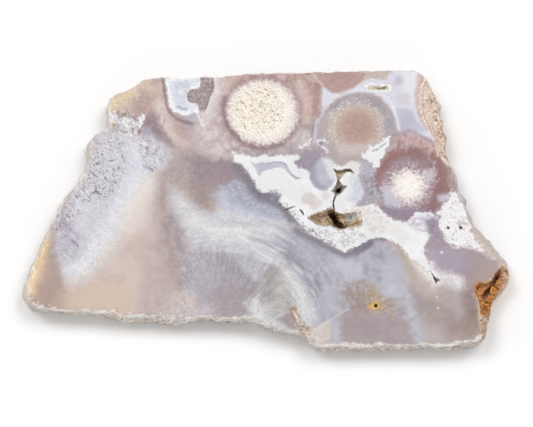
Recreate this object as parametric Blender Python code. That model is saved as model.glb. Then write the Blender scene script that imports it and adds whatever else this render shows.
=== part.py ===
"""A flower agate slice: a slab sawn flat, 120 mm long and 6 mm thick, with a rough natural rim and open pockets.

The slab is one stone. It lies on its sawn back at z = 0, with the polished face up and +X along its length.
Places on the polished face are read off the photograph in its pixels, and on_face() turns them into metres.
"""

import math

import bmesh
import bpy
from mathutils import Vector, noise

MM = 0.001

# Driving dimensions.
LENGTH = 120 * MM
THICKNESS = 6 * MM

# How the photograph looks at the slab: the pixel that the view is centred on, its elevation and distance, the
# pixel over the slab's middle, and the slab's length in pixels of the size that they have at the view's centre.
VIEW_PX = (266.5, 213.5)
VIEW_ELEVATION = math.radians(70)
VIEW_DISTANCE = 0.6
MIDDLE_PX = (266.1, 205.0)
LENGTH_PX = 485.3
PIXEL = LENGTH / LENGTH_PX

# The edge of the polished face, clockwise from the upper left lobe: pixel x, pixel y, and how far the foot of
# the rim stands outside the edge in mm, which is negative where the rim is undercut.
FACE_EDGE = [
    (110, 112, 0.8), (110, 103, 0.8), (113, 97.5, 0.5), (119, 93.5, 0.4), (127, 90.5, 0.3), (135, 87.5, 0.3),
    (139, 84.5, 0.3), (145, 81, 0.3), (152, 79.2, 0.3), (162, 78.2, 0.2), (180, 78.4, 0.2), (198, 78.2, 0.2),
    (213, 78, 0.2), (228, 76.4, 0.2), (245, 75, 0.2), (262, 74, 0.2), (282, 73.4, 0.2), (300, 73.8, 0.2),
    (312, 72.6, 0.2), (330, 72.4, 0.2), (350, 72.2, 0.2), (370, 71.6, 0.2), (388, 70.5, 0.2), (404, 71, 0.2),
    (415, 71.7, 0.2), (420, 74, 0.2), (424.5, 78.5, 0.3), (428, 85.5, 0.5), (432, 94, 0.8), (435, 102, 1.2),
    (435.5, 112, 1.2), (438, 122, 1.3), (441, 132, 0.8), (443, 142, 0.3), (443.5, 152, 0.0), (447, 161, -0.2),
    (451, 168, 0.3), (454, 177, 0.5), (457, 188, 0.4), (461, 199, 0.6), (466, 211, 0.7), (470, 223, 1.1),
    (475, 233, 2.3), (482, 243, 2.8), (490, 252, 2.7), (498, 259, 2.1), (503.5, 265.5, 1.2), (506, 272, 0.7),
    (506, 278, 0.6), (501, 284.5, 0.4), (495, 289.5, 0.3), (491.5, 295, 0.2), (490, 301.5, 0.1), (489, 308, 0),
    (486.5, 315, 0), (484.5, 322, 0), (485, 328, 0.1), (482.5, 334, 0.1), (476, 339.5, 0), (464, 342.5, -0.2),
    (446, 344.2, -0.5), (425, 345, -0.5), (400, 345.4, -0.4), (375, 344.8, -0.2), (350, 344.8, -0.3),
    (330, 345.5, -0.4), (317, 344.8, -0.5), (311, 341, -0.6), (307.5, 334.5, -0.5), (303, 331.5, -0.6),
    (292, 330.8, -0.8), (280, 328.8, -0.8), (268, 324.8, -0.7), (257, 319.8, -0.6), (246, 317.2, -0.6),
    (232, 317.8, -0.6), (219, 319, -0.8), (209, 316.5, -0.7), (199, 315.3, -0.7), (189, 318, -0.5),
    (178, 318.5, -0.3), (170, 318, 0), (160, 314.5, 0.2), (148, 315.5, 0.2), (136, 315, 0.2), (126, 316.5, -0.1),
    (116, 313.5, -0.2), (106, 310.8, -0.3), (92, 310.2, -0.8), (76, 310.2, -1.0), (60, 309.5, -1.2),
    (46, 307.3, -0.8), (36, 305, -0.3), (30.5, 300, 0.6), (28, 292, 1.4), (28.5, 283, 1.2), (32, 272, 1.1),
    (36.5, 261, 1.0), (41.5, 250, 1.0), (46.5, 239, 0.8), (51, 230, 0.6), (55, 220, 0.7), (60, 210, 0.7),
    (65, 200.5, 0.9), (70.5, 193, 0.9), (77, 186, 0.8), (83.5, 177.5, 1.0), (88.5, 167.5, 1.0), (91.5, 157, 1.1),
    (92, 147, 1.2), (92, 139.5, 1.1), (95, 135, 0.7), (101, 132.5, 0.4), (107, 130, 0.4), (110.5, 126, 0.6),
    (110.5, 119, 0.8),
]

# The rim's cross-section from the face down: height as a share of the thickness, the share of the foot's
# stand-out reached there, its own swelling in mm, how lumpy it is in mm, and how deep its flake scars are in mm.
RIM_LEVELS = [
    (0.93, 0.08, 0.38, 0.20, 0.25),
    (0.76, 0.35, 0.62, 0.32, 0.55),
    (0.56, 0.62, 0.66, 0.36, 0.62),
    (0.35, 0.85, 0.60, 0.36, 0.62),
    (0.14, 1.00, 0.40, 0.26, 0.45),
    (0.00, 1.00, -0.15, 0.12, 0.10),
]
RIM_STEP = 1.05 * MM
RIM_WAVE = 0.30 * MM
EDGE_WOBBLE = 0.16 * MM
LUMP = 3.4 * MM
FLAKE = 2.9 * MM

# The open pockets: outline in pixels, depth below the face in mm, how much narrower the floor is than the mouth,
# and the floor's roughness in mm.
VUG = [
    (308, 218), (313, 215.3), (318.5, 213), (324, 210), (330, 208.6), (334, 209.4), (337, 212.6), (342, 213.8),
    (349, 212.4), (356, 211), (361, 211.6), (363.5, 216), (362.5, 222.5), (357, 225), (349, 227.4),
    (342.5, 229.4), (337, 228), (331, 225.4), (323, 225), (316.5, 223.6), (311.5, 220.6),
]
VUG_TRENCH = [
    (327, 209.6), (333, 209.6), (337.5, 213.6), (340.5, 219), (346, 223.5), (345.5, 227.6), (339.5, 227.6),
    (334.5, 223.5), (331, 217.5),
]
STAR_HOLE = [
    (338.2, 178), (340.2, 182.3), (342.8, 185.4), (347, 186.4), (343.8, 188.8), (342.2, 191.8), (339, 194),
    (336.2, 196), (334.4, 199), (334.9, 194.5), (334, 192.2), (331.2, 190.6), (334.2, 188.2), (336.2, 184),
]
STAR_CORE = [(337.2, 186.6), (341.2, 185.8), (342, 188.6), (339.8, 191.8), (336.4, 191.8), (335, 189.4)]
FORKED_HOLE = [
    (333.3, 168.3), (337.5, 170.4), (342, 170), (346, 168.7), (350.5, 168.7), (354, 173), (349.6, 171.3),
    (346, 172.1), (342.5, 175), (339.9, 179.4), (337.4, 179.4), (336.3, 174),
]
NECK_CREVICE = [
    (333.9, 196.5), (335.6, 196.9), (334.4, 201.5), (334.2, 205), (335.4, 210.6), (333.8, 211.4), (332.6, 206.5),
    (332.7, 201.5),
]
LEFT_CREVICE = [(299, 209.2), (301.2, 209.2), (303.4, 211.5), (304.4, 215), (302.8, 214.6), (301, 211.6)]
FAR_LEFT_CREVICE = [(284, 209.8), (287.5, 207.7), (292.5, 205.8), (295.5, 206.4), (291.5, 208), (287.5, 210)]
CORNER_HOLE = [(431.6, 272.6), (435.6, 277.8), (440.4, 279.8), (437.8, 281.6), (436.2, 284), (434, 279.6)]
GOLD_SLIT = [
    (366, 87), (369.5, 84.7), (374.5, 84.9), (380, 86.7), (384.5, 86.1), (388.5, 85.2), (390.4, 87.4),
    (388.5, 89.8), (383, 89.6), (377, 91), (371.5, 89.6), (367.5, 88.9),
]
AMBER_PIT = [(374.4, 303.8), (376.6, 303.5), (378, 305.2), (377, 307.2), (374.8, 307.2), (373.6, 305.6)]
SUGAR_PIT = [(459.4, 224.6), (461.6, 226), (463, 228.6), (460.6, 229.2), (459.2, 227.4)]
LEFT_SUGAR_PIT = [(447.2, 225.6), (449.4, 226.4), (449.8, 228.8), (447.6, 229), (446.6, 227.4)]
STAINED_CRACK = [(291.6, 310.6), (294.2, 310.4), (299.5, 318.5), (308.6, 333.8), (305.6, 334.6), (297, 320)]
RUSTY_HOLLOW = [
    (502.5, 266.3), (496.5, 272.5), (491.8, 280), (486.5, 283.3), (479.4, 282.3), (475, 286.4), (475.2, 293),
    (478.4, 300), (480.6, 307.5), (481.2, 314), (484, 318), (492, 318), (500, 306), (515, 290), (515, 266),
]
RUSTY_VALLEY = [
    (499.6, 269), (501.5, 272), (497.5, 279.5), (491.5, 286), (489.5, 293), (484, 298.5), (480, 296.5),
    (484.5, 290), (490, 284), (494.5, 276),
]
WEATHERED_SKIN = [
    (425, 78), (422.5, 90), (421.5, 104), (424, 117), (429, 129), (435, 142), (439.5, 154), (446, 162),
    (460, 162), (460, 78),
]
BROKEN_CRYSTALS = [
    (111.5, 113.5), (116, 111.5), (122, 113), (128, 112), (133, 117), (139, 116), (141.5, 122), (137, 130),
    (131, 134), (124, 134), (118, 128), (113, 126),
]
POCKETS = [
    ("vug_trench", VUG_TRENCH, 4.0, 0.55, 0.30),
    ("vug", VUG, 2.1, 0.62, 0.35),
    ("star_core", STAR_CORE, 3.4, 0.60, 0.10),
    ("star_hole", STAR_HOLE, 1.1, 0.60, 0.10),
    ("forked_hole", FORKED_HOLE, 1.2, 0.94, 0.05),
    ("neck_crevice", NECK_CREVICE, 1.0, 0.50, 0.05),
    ("left_crevice", LEFT_CREVICE, 0.9, 0.50, 0.05),
    ("far_left_crevice", FAR_LEFT_CREVICE, 0.7, 0.50, 0.05),
    ("corner_hole", CORNER_HOLE, 1.6, 0.50, 0.05),
    ("gold_slit", GOLD_SLIT, 1.2, 0.50, 0.15),
    ("amber_pit", AMBER_PIT, 1.2, 0.55, 0.05),
    ("sugar_pit", SUGAR_PIT, 0.9, 0.55, 0.05),
    ("left_sugar_pit", LEFT_SUGAR_PIT, 0.8, 0.55, 0.05),
    ("stained_crack", STAINED_CRACK, 0.45, 0.40, 0.05),
    ("weathered_skin", WEATHERED_SKIN, 0.55, 0.94, 0.35),
    ("broken_crystals", BROKEN_CRYSTALS, 0.45, 0.80, 0.30),
    ("rusty_valley", RUSTY_VALLEY, 3.2, 0.60, 0.30),
    ("rusty_hollow", RUSTY_HOLLOW, 1.7, 0.90, 0.55),
]
POCKET_STEP = 0.9 * MM
POCKET_CLEARANCE = 0.4 * MM
POCKET_WALL_SHARES = (0.0, 0.45, 1.0)
LUMPY_FROM = 0.2
FLOOR_CUTS = 2
FLOOR_LUMPS = 1.8

STONE_COLOUR = (0.55, 0.49, 0.50, 1.0)
STONE_ROUGHNESS = 0.25
ROUNDED_SHADE = math.radians(50)


def seen_at(px, py):
    """Where the photograph's pixel falls on the plane of the polished face, from the centre of the view."""
    right = (px - VIEW_PX[0]) * PIXEL
    up = (VIEW_PX[1] - py) * PIXEL
    across = math.sin(VIEW_ELEVATION)
    into = math.cos(VIEW_ELEVATION)
    y = up * VIEW_DISTANCE / (VIEW_DISTANCE * across - up * into)
    return Vector((right * (1 + y * into / VIEW_DISTANCE), y, 0))


def on_face(px, py):
    """The point of the polished face that the photograph shows at this pixel, from the slab's middle."""
    return seen_at(px, py) - seen_at(*MIDDLE_PX) + Vector((0, 0, THICKNESS))


def clear_scene():
    for obj in list(bpy.data.objects):
        bpy.data.objects.remove(obj)


def collection(name):
    made = bpy.data.collections.new(name)
    bpy.context.scene.collection.children.link(made)
    return made


def object_from(bm, name, into):
    mesh = bpy.data.meshes.new(name)
    bm.to_mesh(mesh)
    bm.free()
    made = bpy.data.objects.new(name, mesh)
    into.objects.link(made)
    return made


def walk(stations, step):
    """Points about one step apart round a closed outline, through its stations, with their other values blended."""
    points = []
    count = len(stations)
    for i in range(count):
        here, value = stations[i]
        following, next_value = stations[(i + 1) % count]
        pieces = max(1, round((following - here).length / step))
        for k in range(pieces):
            share = k / pieces
            points.append((here.lerp(following, share), value + (next_value - value) * share))
    return points


def outward(ring):
    """The outward normal in the face's plane at each point of a closed ring that runs clockwise from above."""
    count = len(ring)
    normals = []
    for i in range(count):
        along = ring[(i + 1) % count] - ring[i - 1]
        normals.append(Vector((-along.y, along.x, 0)).normalized())
    return normals


def rough(point, size, seed):
    """Smooth noise from about -1 to 1 whose lumps are about this size."""
    return noise.fractal(point / size + Vector((seed, 0, 0)), 1.0, 2.0, 3) * 1.6


def flake_scar(point):
    """How far a flake has broken away here, from 0 on the ridges between scars to 1 in the middle of a scar."""
    distances, _ = noise.voronoi(point / FLAKE)
    return max(0.0, 1 - distances[0] / distances[1]) if distances[1] else 0.0


def rim_rings():
    """The closed rings of points that the stone's outside runs through, from the face's edge to the foot."""
    stations = [(on_face(px, py), foot) for px, py, foot in FACE_EDGE]
    walked = walk(stations, RIM_STEP)
    edge = [point for point, _ in walked]
    feet = [foot for _, foot in walked]
    normals = outward(edge)
    edge = [p + n * rough(p, 2.2 * MM, 3.0) * EDGE_WOBBLE for p, n in zip(edge, normals)]
    rings = [edge]
    for height, share, swelling, lumps, scars in RIM_LEVELS:
        ring = []
        for point, normal, foot in zip(edge, normals, feet):
            low = Vector((point.x, point.y, height * THICKNESS))
            reach = share * foot + swelling + lumps * rough(low, LUMP, 11.0) - scars * flake_scar(low)
            if height > 0:
                low.z += min(height, 1 - height) * 4 * RIM_WAVE * rough(low, LUMP, 29.0)
            ring.append(low + normal * reach * MM)
        rings.append(ring)
    return rings


def stone_block(into):
    """The slab before its pockets: a loft between unlike rings, with the flat face and the flat back as its caps."""
    bm = bmesh.new()
    rings = [[bm.verts.new(p) for p in ring] for ring in rim_rings()]
    count = len(rings[0])
    for upper, lower in zip(rings, rings[1:]):
        for i in range(count):
            after = (i + 1) % count
            bm.faces.new((upper[i], upper[after], lower[after], lower[i]))
    bm.faces.new(reversed(rings[0]))
    bm.faces.new(rings[-1])
    bmesh.ops.recalc_face_normals(bm, faces=bm.faces)
    return object_from(bm, "agate_slice", into)


def make_lumpy(bm, floor, roughness):
    """Breaks a pocket's flat floor into facets and lifts or lowers the new points between its edges."""
    facets = bmesh.ops.triangulate(bm, faces=[floor])["faces"]
    crossing = {edge for facet in facets for edge in facet.edges if all(f in facets for f in edge.link_faces)}
    split = bmesh.ops.subdivide_edges(bm, edges=list(crossing), cuts=FLOOR_CUTS)
    for vert in split["geom_inner"]:
        if isinstance(vert, bmesh.types.BMVert):
            vert.co.z += roughness * MM * FLOOR_LUMPS * rough(vert.co, 1.5 * MM, 71.0)


def pocket_cutter(name, outline, depth, narrowing, roughness, into):
    """A plug the shape of a pocket: its outline, drawn in as it goes down to a lumpy floor."""
    walked = walk([(on_face(px, py), 0) for px, py in outline], POCKET_STEP)
    mouth = [point for point, _ in walked]
    centre = sum(mouth, Vector()) / len(mouth)
    bm = bmesh.new()
    lid = [bm.verts.new(p + Vector((0, 0, POCKET_CLEARANCE))) for p in mouth]
    bm.faces.new(lid)
    upper = lid
    for share in POCKET_WALL_SHARES:
        drawn_in = 1 - (1 - narrowing) * share
        lower = []
        for point in mouth:
            place = centre + (point - centre) * drawn_in
            place.z -= depth * MM * share
            if share:
                place.z += roughness * MM * rough(place, 1.8 * MM, 47.0)
            lower.append(bm.verts.new(place))
        for i in range(len(mouth)):
            after = (i + 1) % len(mouth)
            bm.faces.new((upper[i], upper[after], lower[after], lower[i]))
        upper = lower
    floor = bm.faces.new(reversed(upper))
    if roughness >= LUMPY_FROM:
        make_lumpy(bm, floor, roughness)
    bmesh.ops.recalc_face_normals(bm, faces=bm.faces)
    plug = object_from(bm, "cut_" + name, into)
    plug.hide_render = True
    plug.display_type = "WIRE"
    return plug


def cut(body, plug):
    modifier = body.modifiers.new(plug.name, "BOOLEAN")
    modifier.operation = "DIFFERENCE"
    modifier.solver = "EXACT"
    modifier.object = plug


def stone_material():
    made = bpy.data.materials.new("agate")
    made.use_nodes = True
    shader = made.node_tree.nodes["Principled BSDF"]
    shader.inputs["Base Color"].default_value = STONE_COLOUR
    shader.inputs["Roughness"].default_value = STONE_ROUGHNESS
    shader.inputs["Metallic"].default_value = 0.0
    return made


def build():
    clear_scene()
    stone = collection("flower_agate_slice")
    cutters = collection("pocket_cutters")
    body = stone_block(stone)
    for pocket in POCKETS:
        cut(body, pocket_cutter(*pocket, cutters))
    body.data.materials.append(stone_material())
    body.data.shade_smooth()
    body.data.set_sharp_from_angle(angle=ROUNDED_SHADE)


build()
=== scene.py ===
"""The looks of the flower agate slice: its figure, chipped rim and crystal pockets, and the studio round it.

The stone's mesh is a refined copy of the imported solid. Its figure is a stack of coats, from the ground colour
up. Each coat has an outline in pixels of the photograph, laid on the polished face. The broad coats are painted
on the mesh's points. For the fine ones the distance to the outline is kept on the mesh as an attribute, and the
material turns it into a soft or ragged edge with noise.
"""

import math
from dataclasses import dataclass

import bmesh
import bpy
import numpy as np
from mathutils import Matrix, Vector, noise


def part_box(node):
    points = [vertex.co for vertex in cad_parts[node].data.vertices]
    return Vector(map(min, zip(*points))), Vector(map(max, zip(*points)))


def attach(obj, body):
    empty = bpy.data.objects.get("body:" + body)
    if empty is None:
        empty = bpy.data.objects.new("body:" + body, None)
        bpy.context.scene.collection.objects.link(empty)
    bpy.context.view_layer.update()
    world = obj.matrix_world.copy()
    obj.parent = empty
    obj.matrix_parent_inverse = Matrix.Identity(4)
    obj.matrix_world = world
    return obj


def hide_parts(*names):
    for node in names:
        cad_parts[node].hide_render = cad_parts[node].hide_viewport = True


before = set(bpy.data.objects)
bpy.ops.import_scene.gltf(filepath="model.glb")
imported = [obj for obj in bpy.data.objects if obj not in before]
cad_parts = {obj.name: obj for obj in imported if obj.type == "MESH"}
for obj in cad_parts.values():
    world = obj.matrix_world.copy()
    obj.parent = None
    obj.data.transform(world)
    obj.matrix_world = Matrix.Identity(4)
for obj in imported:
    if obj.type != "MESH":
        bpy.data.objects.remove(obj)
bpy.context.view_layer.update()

MM = 0.001
IMAGE_WIDTH = 533

# How the photograph looks at the slab, as in the part's source
LENGTH = 120 * MM
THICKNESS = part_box("agate_slice")[1].z
VIEW_PX = (266.5, 213.5)
VIEW_ELEVATION = math.radians(70)
VIEW_DISTANCE = 0.6
MIDDLE_PX = (266.1, 205.0)
LENGTH_PX = 485.3
PIXEL = LENGTH / LENGTH_PX

# How finely the copy is cut up, and what counts as one point, as level and as straight
FACE_CELL = 0.36 * MM
BACK_CELL = 1.6 * MM
LEAST_STRIP = 0.3
ROUGH_CUTS = 2
MERGE = 0.001 * MM
FLAT = 0.002 * MM
STRAIGHT = math.radians(0.2)
ROUNDED_SHADE = math.radians(48)

# How far the rim and the pockets are lifted, by lumps of two sizes, and in mm how the lift fades in
RELIEF = 0.13 * MM
RELIEF_LUMPS = ((1.3 * MM, 0.62), (0.55 * MM, 0.38))
RELIEF_START = Vector((5, 5, 0))
STILL = 0.05
FADE_UNDER_FACE = 0.6
FADE_OVER_BACK = 0.5

# The chips along the face's edge: how far in they reach in mm, how deep and large they are, and how readily
# the near side and the rest break
CHIP_REACH = 0.9
EDGE_REACH = 2.2
CHIP_DEPTH = 0.34 * MM
CHIP_LUMP = 1.0 * MM
CHIP_START = Vector((7, 3, 0))
NEAR_SIDE_BREAKS = 0.35
OTHER_SIDES_BREAK = -0.10

# Distances to outlines are cut off here, in mm
FAR = 7.0

# How many fibres a noise has round its centre, and how long they are: the plume's rays, the bands across
# them, its hairs, and the third flower's rays
PLUME_RAYS = (22, 9 * MM)
PLUME_BANDS = (4, 1.1 * MM)
PLUME_HAIRS = (46, 2.6 * MM)
FLOWER_RAYS = (13, 1.8 * MM)

# How bright the light makes a white surface, how much of that the polish's own reflection adds, and the
# darkest and the palest paint
EXPOSURE = 1.16
VEIL = 0.012
DARKEST = 0.002
PALEST = 0.92


def seen_at(px, py):
    """Where the photograph's pixel falls on the plane of the polished face, from the centre of the view."""
    right = (px - VIEW_PX[0]) * PIXEL
    up = (VIEW_PX[1] - py) * PIXEL
    across = math.sin(VIEW_ELEVATION)
    into = math.cos(VIEW_ELEVATION)
    y = up * VIEW_DISTANCE / (VIEW_DISTANCE * across - up * into)
    return Vector((right * (1 + y * into / VIEW_DISTANCE), y, 0))


def on_face(px, py):
    """The point of the polished face that the photograph shows at this pixel, from the slab's middle."""
    return seen_at(px, py) - seen_at(*MIDDLE_PX) + Vector((0, 0, THICKNESS))


# Shapes, in pixels of the photograph

def area(*outline):
    """Everything inside a closed outline."""
    return "area", outline


def stripe(half_width, *line):
    """A line with a width."""
    return "stripe", half_width, line


def spot(x, y, radius):
    """A round spot."""
    return "spot", (x, y), radius


@dataclass
class Coat:
    """One coat of one or two sRGB colours: where it lies, and in mm how soft and ragged its edge is.

    The noise named by `by` breaks the edge, and the one named by `figure` lays the second colour over the
    first. A sparse coat shows only where its noise is high enough.
    """
    name: str
    colours: tuple
    shapes: tuple
    edge: float = 0.4
    ragged: float = 0.3
    by: str = "ragged"
    figure: str = "cloudy"
    strength: float = 1.0
    sparse: float = 0.0


def fluffy(name, colours, shapes, **settings):
    """A coat with a fluffy edge and a fluffy figure."""
    return Coat(name, colours, shapes, by="fluff", figure="fluff", **settings)


# Where the third flower's rays and the plume's fibres start
THIRD_FLOWER_PX = (409, 186)
PLUME_PX = (220, 334)

# The outlines of the agate's parts and its pockets
LEFT_VEIL = (
    (107, 131), (122, 132), (139, 137), (153, 139), (163, 146), (170, 153), (167, 160), (161, 167),
    (150, 173), (141, 180), (133, 188), (127, 197.5), (121, 212), (111, 231), (101, 249), (89, 264),
    (78, 274), (70, 276), (64, 271), (60, 262), (57, 249), (56, 234), (60, 220), (68, 205), (76, 191.5),
    (86, 177), (92, 163), (94.5, 151), (96.5, 138),
)
LOBE_BEIGE = (
    (106, 114), (106, 100), (120, 92), (135, 85), (148, 80), (152, 95), (146, 106), (135, 110), (122, 112),
)
LOBE_PINK = (
    (146, 78), (163, 76), (166, 95), (166, 108), (172, 118), (182, 124), (190, 132), (196, 146), (188, 150),
    (176, 146), (165, 140), (158, 128), (150, 116), (142, 100),
)
LOBE_DARK = (
    (141, 118), (150, 113), (156, 112), (160, 120), (164, 128), (170, 138), (178, 148), (171, 148),
    (160, 141), (152, 136), (146, 131), (140, 125),
)
WHITE_POCKET = (
    (165.5, 78), (186, 77), (200, 76), (200, 85), (198, 90), (190, 89), (187, 94), (188, 101), (193, 103),
    (197, 104), (200, 110), (197, 114), (193, 113), (189, 114.5), (184, 115), (178, 112.5), (172, 110.5),
    (170.5, 103), (169, 94), (167, 86),
)
BROWN_LUMPS = (
    (200, 76), (207, 75.5), (213, 76.5), (214, 86), (212, 94), (209, 97.5), (207.5, 103), (206, 109),
    (203, 112.5), (199.5, 110.5), (198, 104), (195, 102.5), (190, 102.5), (187.5, 99), (187, 94.5),
    (189, 91), (193, 89.5), (198, 90), (200.5, 87), (201, 82),
)
FIRST_HALO = (
    (196, 118), (205, 100), (216, 84), (220, 72), (243, 72), (240, 84), (228, 100), (222, 118), (226, 135),
    (238, 148), (232, 158), (218, 160), (205, 156), (196, 148), (192, 134),
)
FIRST_DISC = (
    (227.2, 110), (229.8, 98), (238.6, 88.6), (250.5, 82.6), (265.2, 80.4), (280, 84), (290.2, 93),
    (296.4, 105.4), (297.4, 117.2), (293.4, 129), (284.5, 138.9), (272.7, 143.6), (258.9, 144.4),
    (245.1, 139.9), (235.8, 130), (229.8, 120.5),
)
RED_BROWN = (
    (226, 76), (232, 72), (262, 70), (300, 70), (312, 70), (321, 84), (321, 96), (320, 108), (318, 119),
    (312, 122), (304, 126), (299, 118), (298, 96), (290, 84), (276, 77), (250, 80), (238, 90), (230, 96),
    (224, 88),
)
BROWN_PINK = (
    (314, 70), (332, 69), (352, 69), (366, 72), (364, 79), (358, 84), (353, 89), (347, 93), (339, 95),
    (331, 92.5), (326, 88), (321, 84),
)
LILAC_TOP = (
    (322, 87), (326, 89), (331, 93), (340, 95.5), (348, 93), (356, 87), (363, 81.5), (372, 79), (380, 80),
    (386, 80), (390, 74), (396, 69), (406, 68), (418, 70), (418, 80), (415, 90), (415, 100), (417, 112),
    (420, 120), (425, 128), (431, 134), (437, 140), (425, 137), (414, 134), (408, 131), (400, 133),
    (397, 128), (395, 118), (390, 108), (382, 98), (374, 94), (362, 91.5), (348, 92.5), (338, 97),
    (331, 104), (326, 110), (323, 112), (322, 103),
)
CLOUD = (
    (231.9, 151.5), (237.2, 154.5), (244, 155), (252.5, 157.2), (261, 157.2), (264.8, 154.2),
    (270.9, 156.5), (278.6, 155.3), (286.2, 155.7), (293.9, 154.9), (300.4, 155.7), (308, 161), (316, 167),
    (324, 160), (332, 163), (340, 166.5), (347, 166), (352, 164), (358, 170), (358.7, 176), (363.6, 187.5),
    (364.5, 194.6), (361, 201), (356, 206), (364, 206), (372.5, 203.6), (379.6, 209), (386.8, 216),
    (395.7, 220.5), (407.3, 223.2), (410.9, 217.9), (415.4, 212.5), (428.8, 211.6), (426, 224),
    (419.8, 230.4), (428.8, 231.3), (432.3, 234.8), (427.1, 241), (423.6, 247.3), (424.5, 254.5),
    (427.1, 264.3), (432.5, 271.4), (437.9, 275), (446.8, 276.8), (454.8, 275.9), (459.3, 277.7),
    (459.3, 287.5), (454.8, 282.1), (447.7, 277.7), (440.5, 278.6), (432.5, 275), (427.9, 270),
    (417.1, 262.5), (409.1, 257.1), (403.8, 249.1), (395.7, 242), (385.9, 238), (377, 237.5), (367, 240.2),
    (360, 244.6), (351, 248.2), (344.8, 251.8), (333.2, 246.4), (319, 239.3), (310, 234), (301.5, 225.7),
    (293.9, 217.3), (287.7, 209.6), (281.6, 205.8), (278.6, 200.4), (281.6, 195), (278.6, 192),
    (274, 190.5), (267.8, 192.8), (261.7, 192.8), (255.6, 188.2), (255.6, 182.8), (251.8, 179),
    (248.7, 172.9), (244.9, 168.3), (240.3, 163.7), (233.4, 162.2),
)
CLOUD_STREAK = (
    (248.7, 160.7), (255.6, 163.7), (261.7, 163), (267.8, 163.3), (274, 161.8), (281.6, 161.8),
    (286.2, 163.7), (288.5, 168.3), (291.6, 172.9), (296.2, 177.5), (300.7, 177.5), (296.2, 179.8),
    (292.3, 177.5), (287.7, 172.9), (285.4, 169.8), (281.6, 167.5), (277, 167.5), (270.9, 169),
    (266.3, 169.8), (261.7, 171.4), (260.2, 176.7), (257.9, 174.4), (255.6, 169), (251.8, 163.7),
)
CLOUD_BLUSH = (
    (304.6, 192.8), (310.7, 192), (316, 195), (316.8, 198.9), (320.6, 200.4), (322.2, 203.5),
    (316.8, 208.9), (313, 208.9), (309.2, 205), (303, 204.3), (300.7, 200.4), (302.3, 195.9),
)
ORB = (
    (320, 158), (326.8, 159), (332, 161.4), (332.1, 166.8), (335.2, 173.7), (335.2, 180.6), (331.4, 185.9),
    (326.8, 189.7), (321.4, 190.5), (315.3, 187.4), (311.5, 181.3), (311.2, 174.4), (313.3, 166.8),
)
ORB_FRINGE = (
    (300.4, 155.7), (305, 150), (318, 152), (322, 160), (316, 172), (312.5, 183), (309.9, 178.3),
    (311, 173.7), (304.6, 168.3), (298.5, 167.5), (293.9, 162.2), (298.5, 159.9),
)
GREY_POCKET = (
    (358.7, 175.9), (367, 175.9), (374.3, 179.5), (376, 185.7), (381.4, 192), (380.5, 200), (372.5, 202.7),
    (363.6, 205.4), (354.6, 207), (360, 200.9), (364.5, 194.6), (363.6, 187.5), (360, 181.3),
)
FLUFFY_WHITE = (
    (391, 135.5), (389, 141), (388, 146), (384, 151), (383.5, 156), (380, 161), (378.5, 168.5), (374, 167),
    (372, 163), (368, 160), (364, 157.5), (360.5, 156), (364, 153), (370, 150.5), (369, 146),
    (367.5, 143.5), (373, 146.5), (379, 143), (385, 139),
)
SUGAR = (
    (450.9, 190.7), (455, 192.5), (457.8, 200), (464.7, 209), (465.3, 216), (468, 221.7), (470.4, 231),
    (473.9, 239), (480.8, 245.9), (484, 250.4), (479.6, 251), (473.9, 247), (467, 245.3), (462.4, 245.9),
    (456.7, 246.4), (452, 244), (446.9, 241.8), (445.2, 239), (447.5, 236.7), (444, 233.8), (441.7, 230.3),
    (438.9, 225.2), (439.4, 220.6), (441.7, 216), (437, 213.7), (441.7, 208), (444, 204), (447.5, 201),
    (450.9, 196.5),
)
TIP_WINDOW = (
    (424, 245), (436, 241), (447, 243), (458, 247), (468, 246.5), (480, 252), (496, 261), (502, 268),
    (491, 282), (478, 284), (468, 284), (459, 277), (446, 276), (436, 273), (428, 264),
)
DARK_SHORE = (
    (296, 230), (302, 234), (310, 238), (322, 244.5), (333, 250), (345, 255), (355, 252), (362, 243.5),
    (368, 239.5), (375, 237.5), (385, 238),
)
VUG = (
    (308, 218), (313, 215.3), (318.5, 213), (324, 210), (330, 208.6), (334, 209.4), (337, 212.6),
    (342, 213.8), (349, 212.4), (356, 211), (361, 211.6), (363.5, 216), (362.5, 222.5), (357, 225),
    (349, 227.4), (342.5, 229.4), (337, 228), (331, 225.4), (323, 225), (316.5, 223.6), (311.5, 220.6),
)
VUG_TRENCH = (
    (327, 209.6), (333, 209.6), (337.5, 213.6), (340.5, 219), (346, 223.5), (345.5, 227.6), (339.5, 227.6),
    (334.5, 223.5), (331, 217.5),
)
STAR_HOLE = (
    (338.2, 178), (340.2, 182.3), (342.8, 185.4), (347, 186.4), (343.8, 188.8), (342.2, 191.8), (339, 194),
    (336.2, 196), (334.4, 199), (334.9, 194.5), (334, 192.2), (331.2, 190.6), (334.2, 188.2), (336.2, 184),
)
STAR_CORE = ((337.2, 186.6), (341.2, 185.8), (342, 188.6), (339.8, 191.8), (336.4, 191.8), (335, 189.4))
FORKED_HOLE = (
    (333.3, 168.3), (337.5, 170.4), (342, 170), (346, 168.7), (350.5, 168.7), (354, 173), (349.6, 171.3),
    (346, 172.1), (342.5, 175), (339.9, 179.4), (337.4, 179.4), (336.3, 174),
)
GOLD_SLIT = (
    (366, 87), (369.5, 84.7), (374.5, 84.9), (380, 86.7), (384.5, 86.1), (388.5, 85.2), (390.4, 87.4),
    (388.5, 89.8), (383, 89.6), (377, 91), (371.5, 89.6), (367.5, 88.9),
)
BROKEN_CRYSTALS = (
    (109, 114), (114, 112), (119, 115), (124, 117), (129, 116), (133, 120), (138, 119), (142, 115),
    (144, 118), (141, 124), (136, 128), (134, 134), (129, 134), (124, 130), (117, 126), (111, 124),
)
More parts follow.
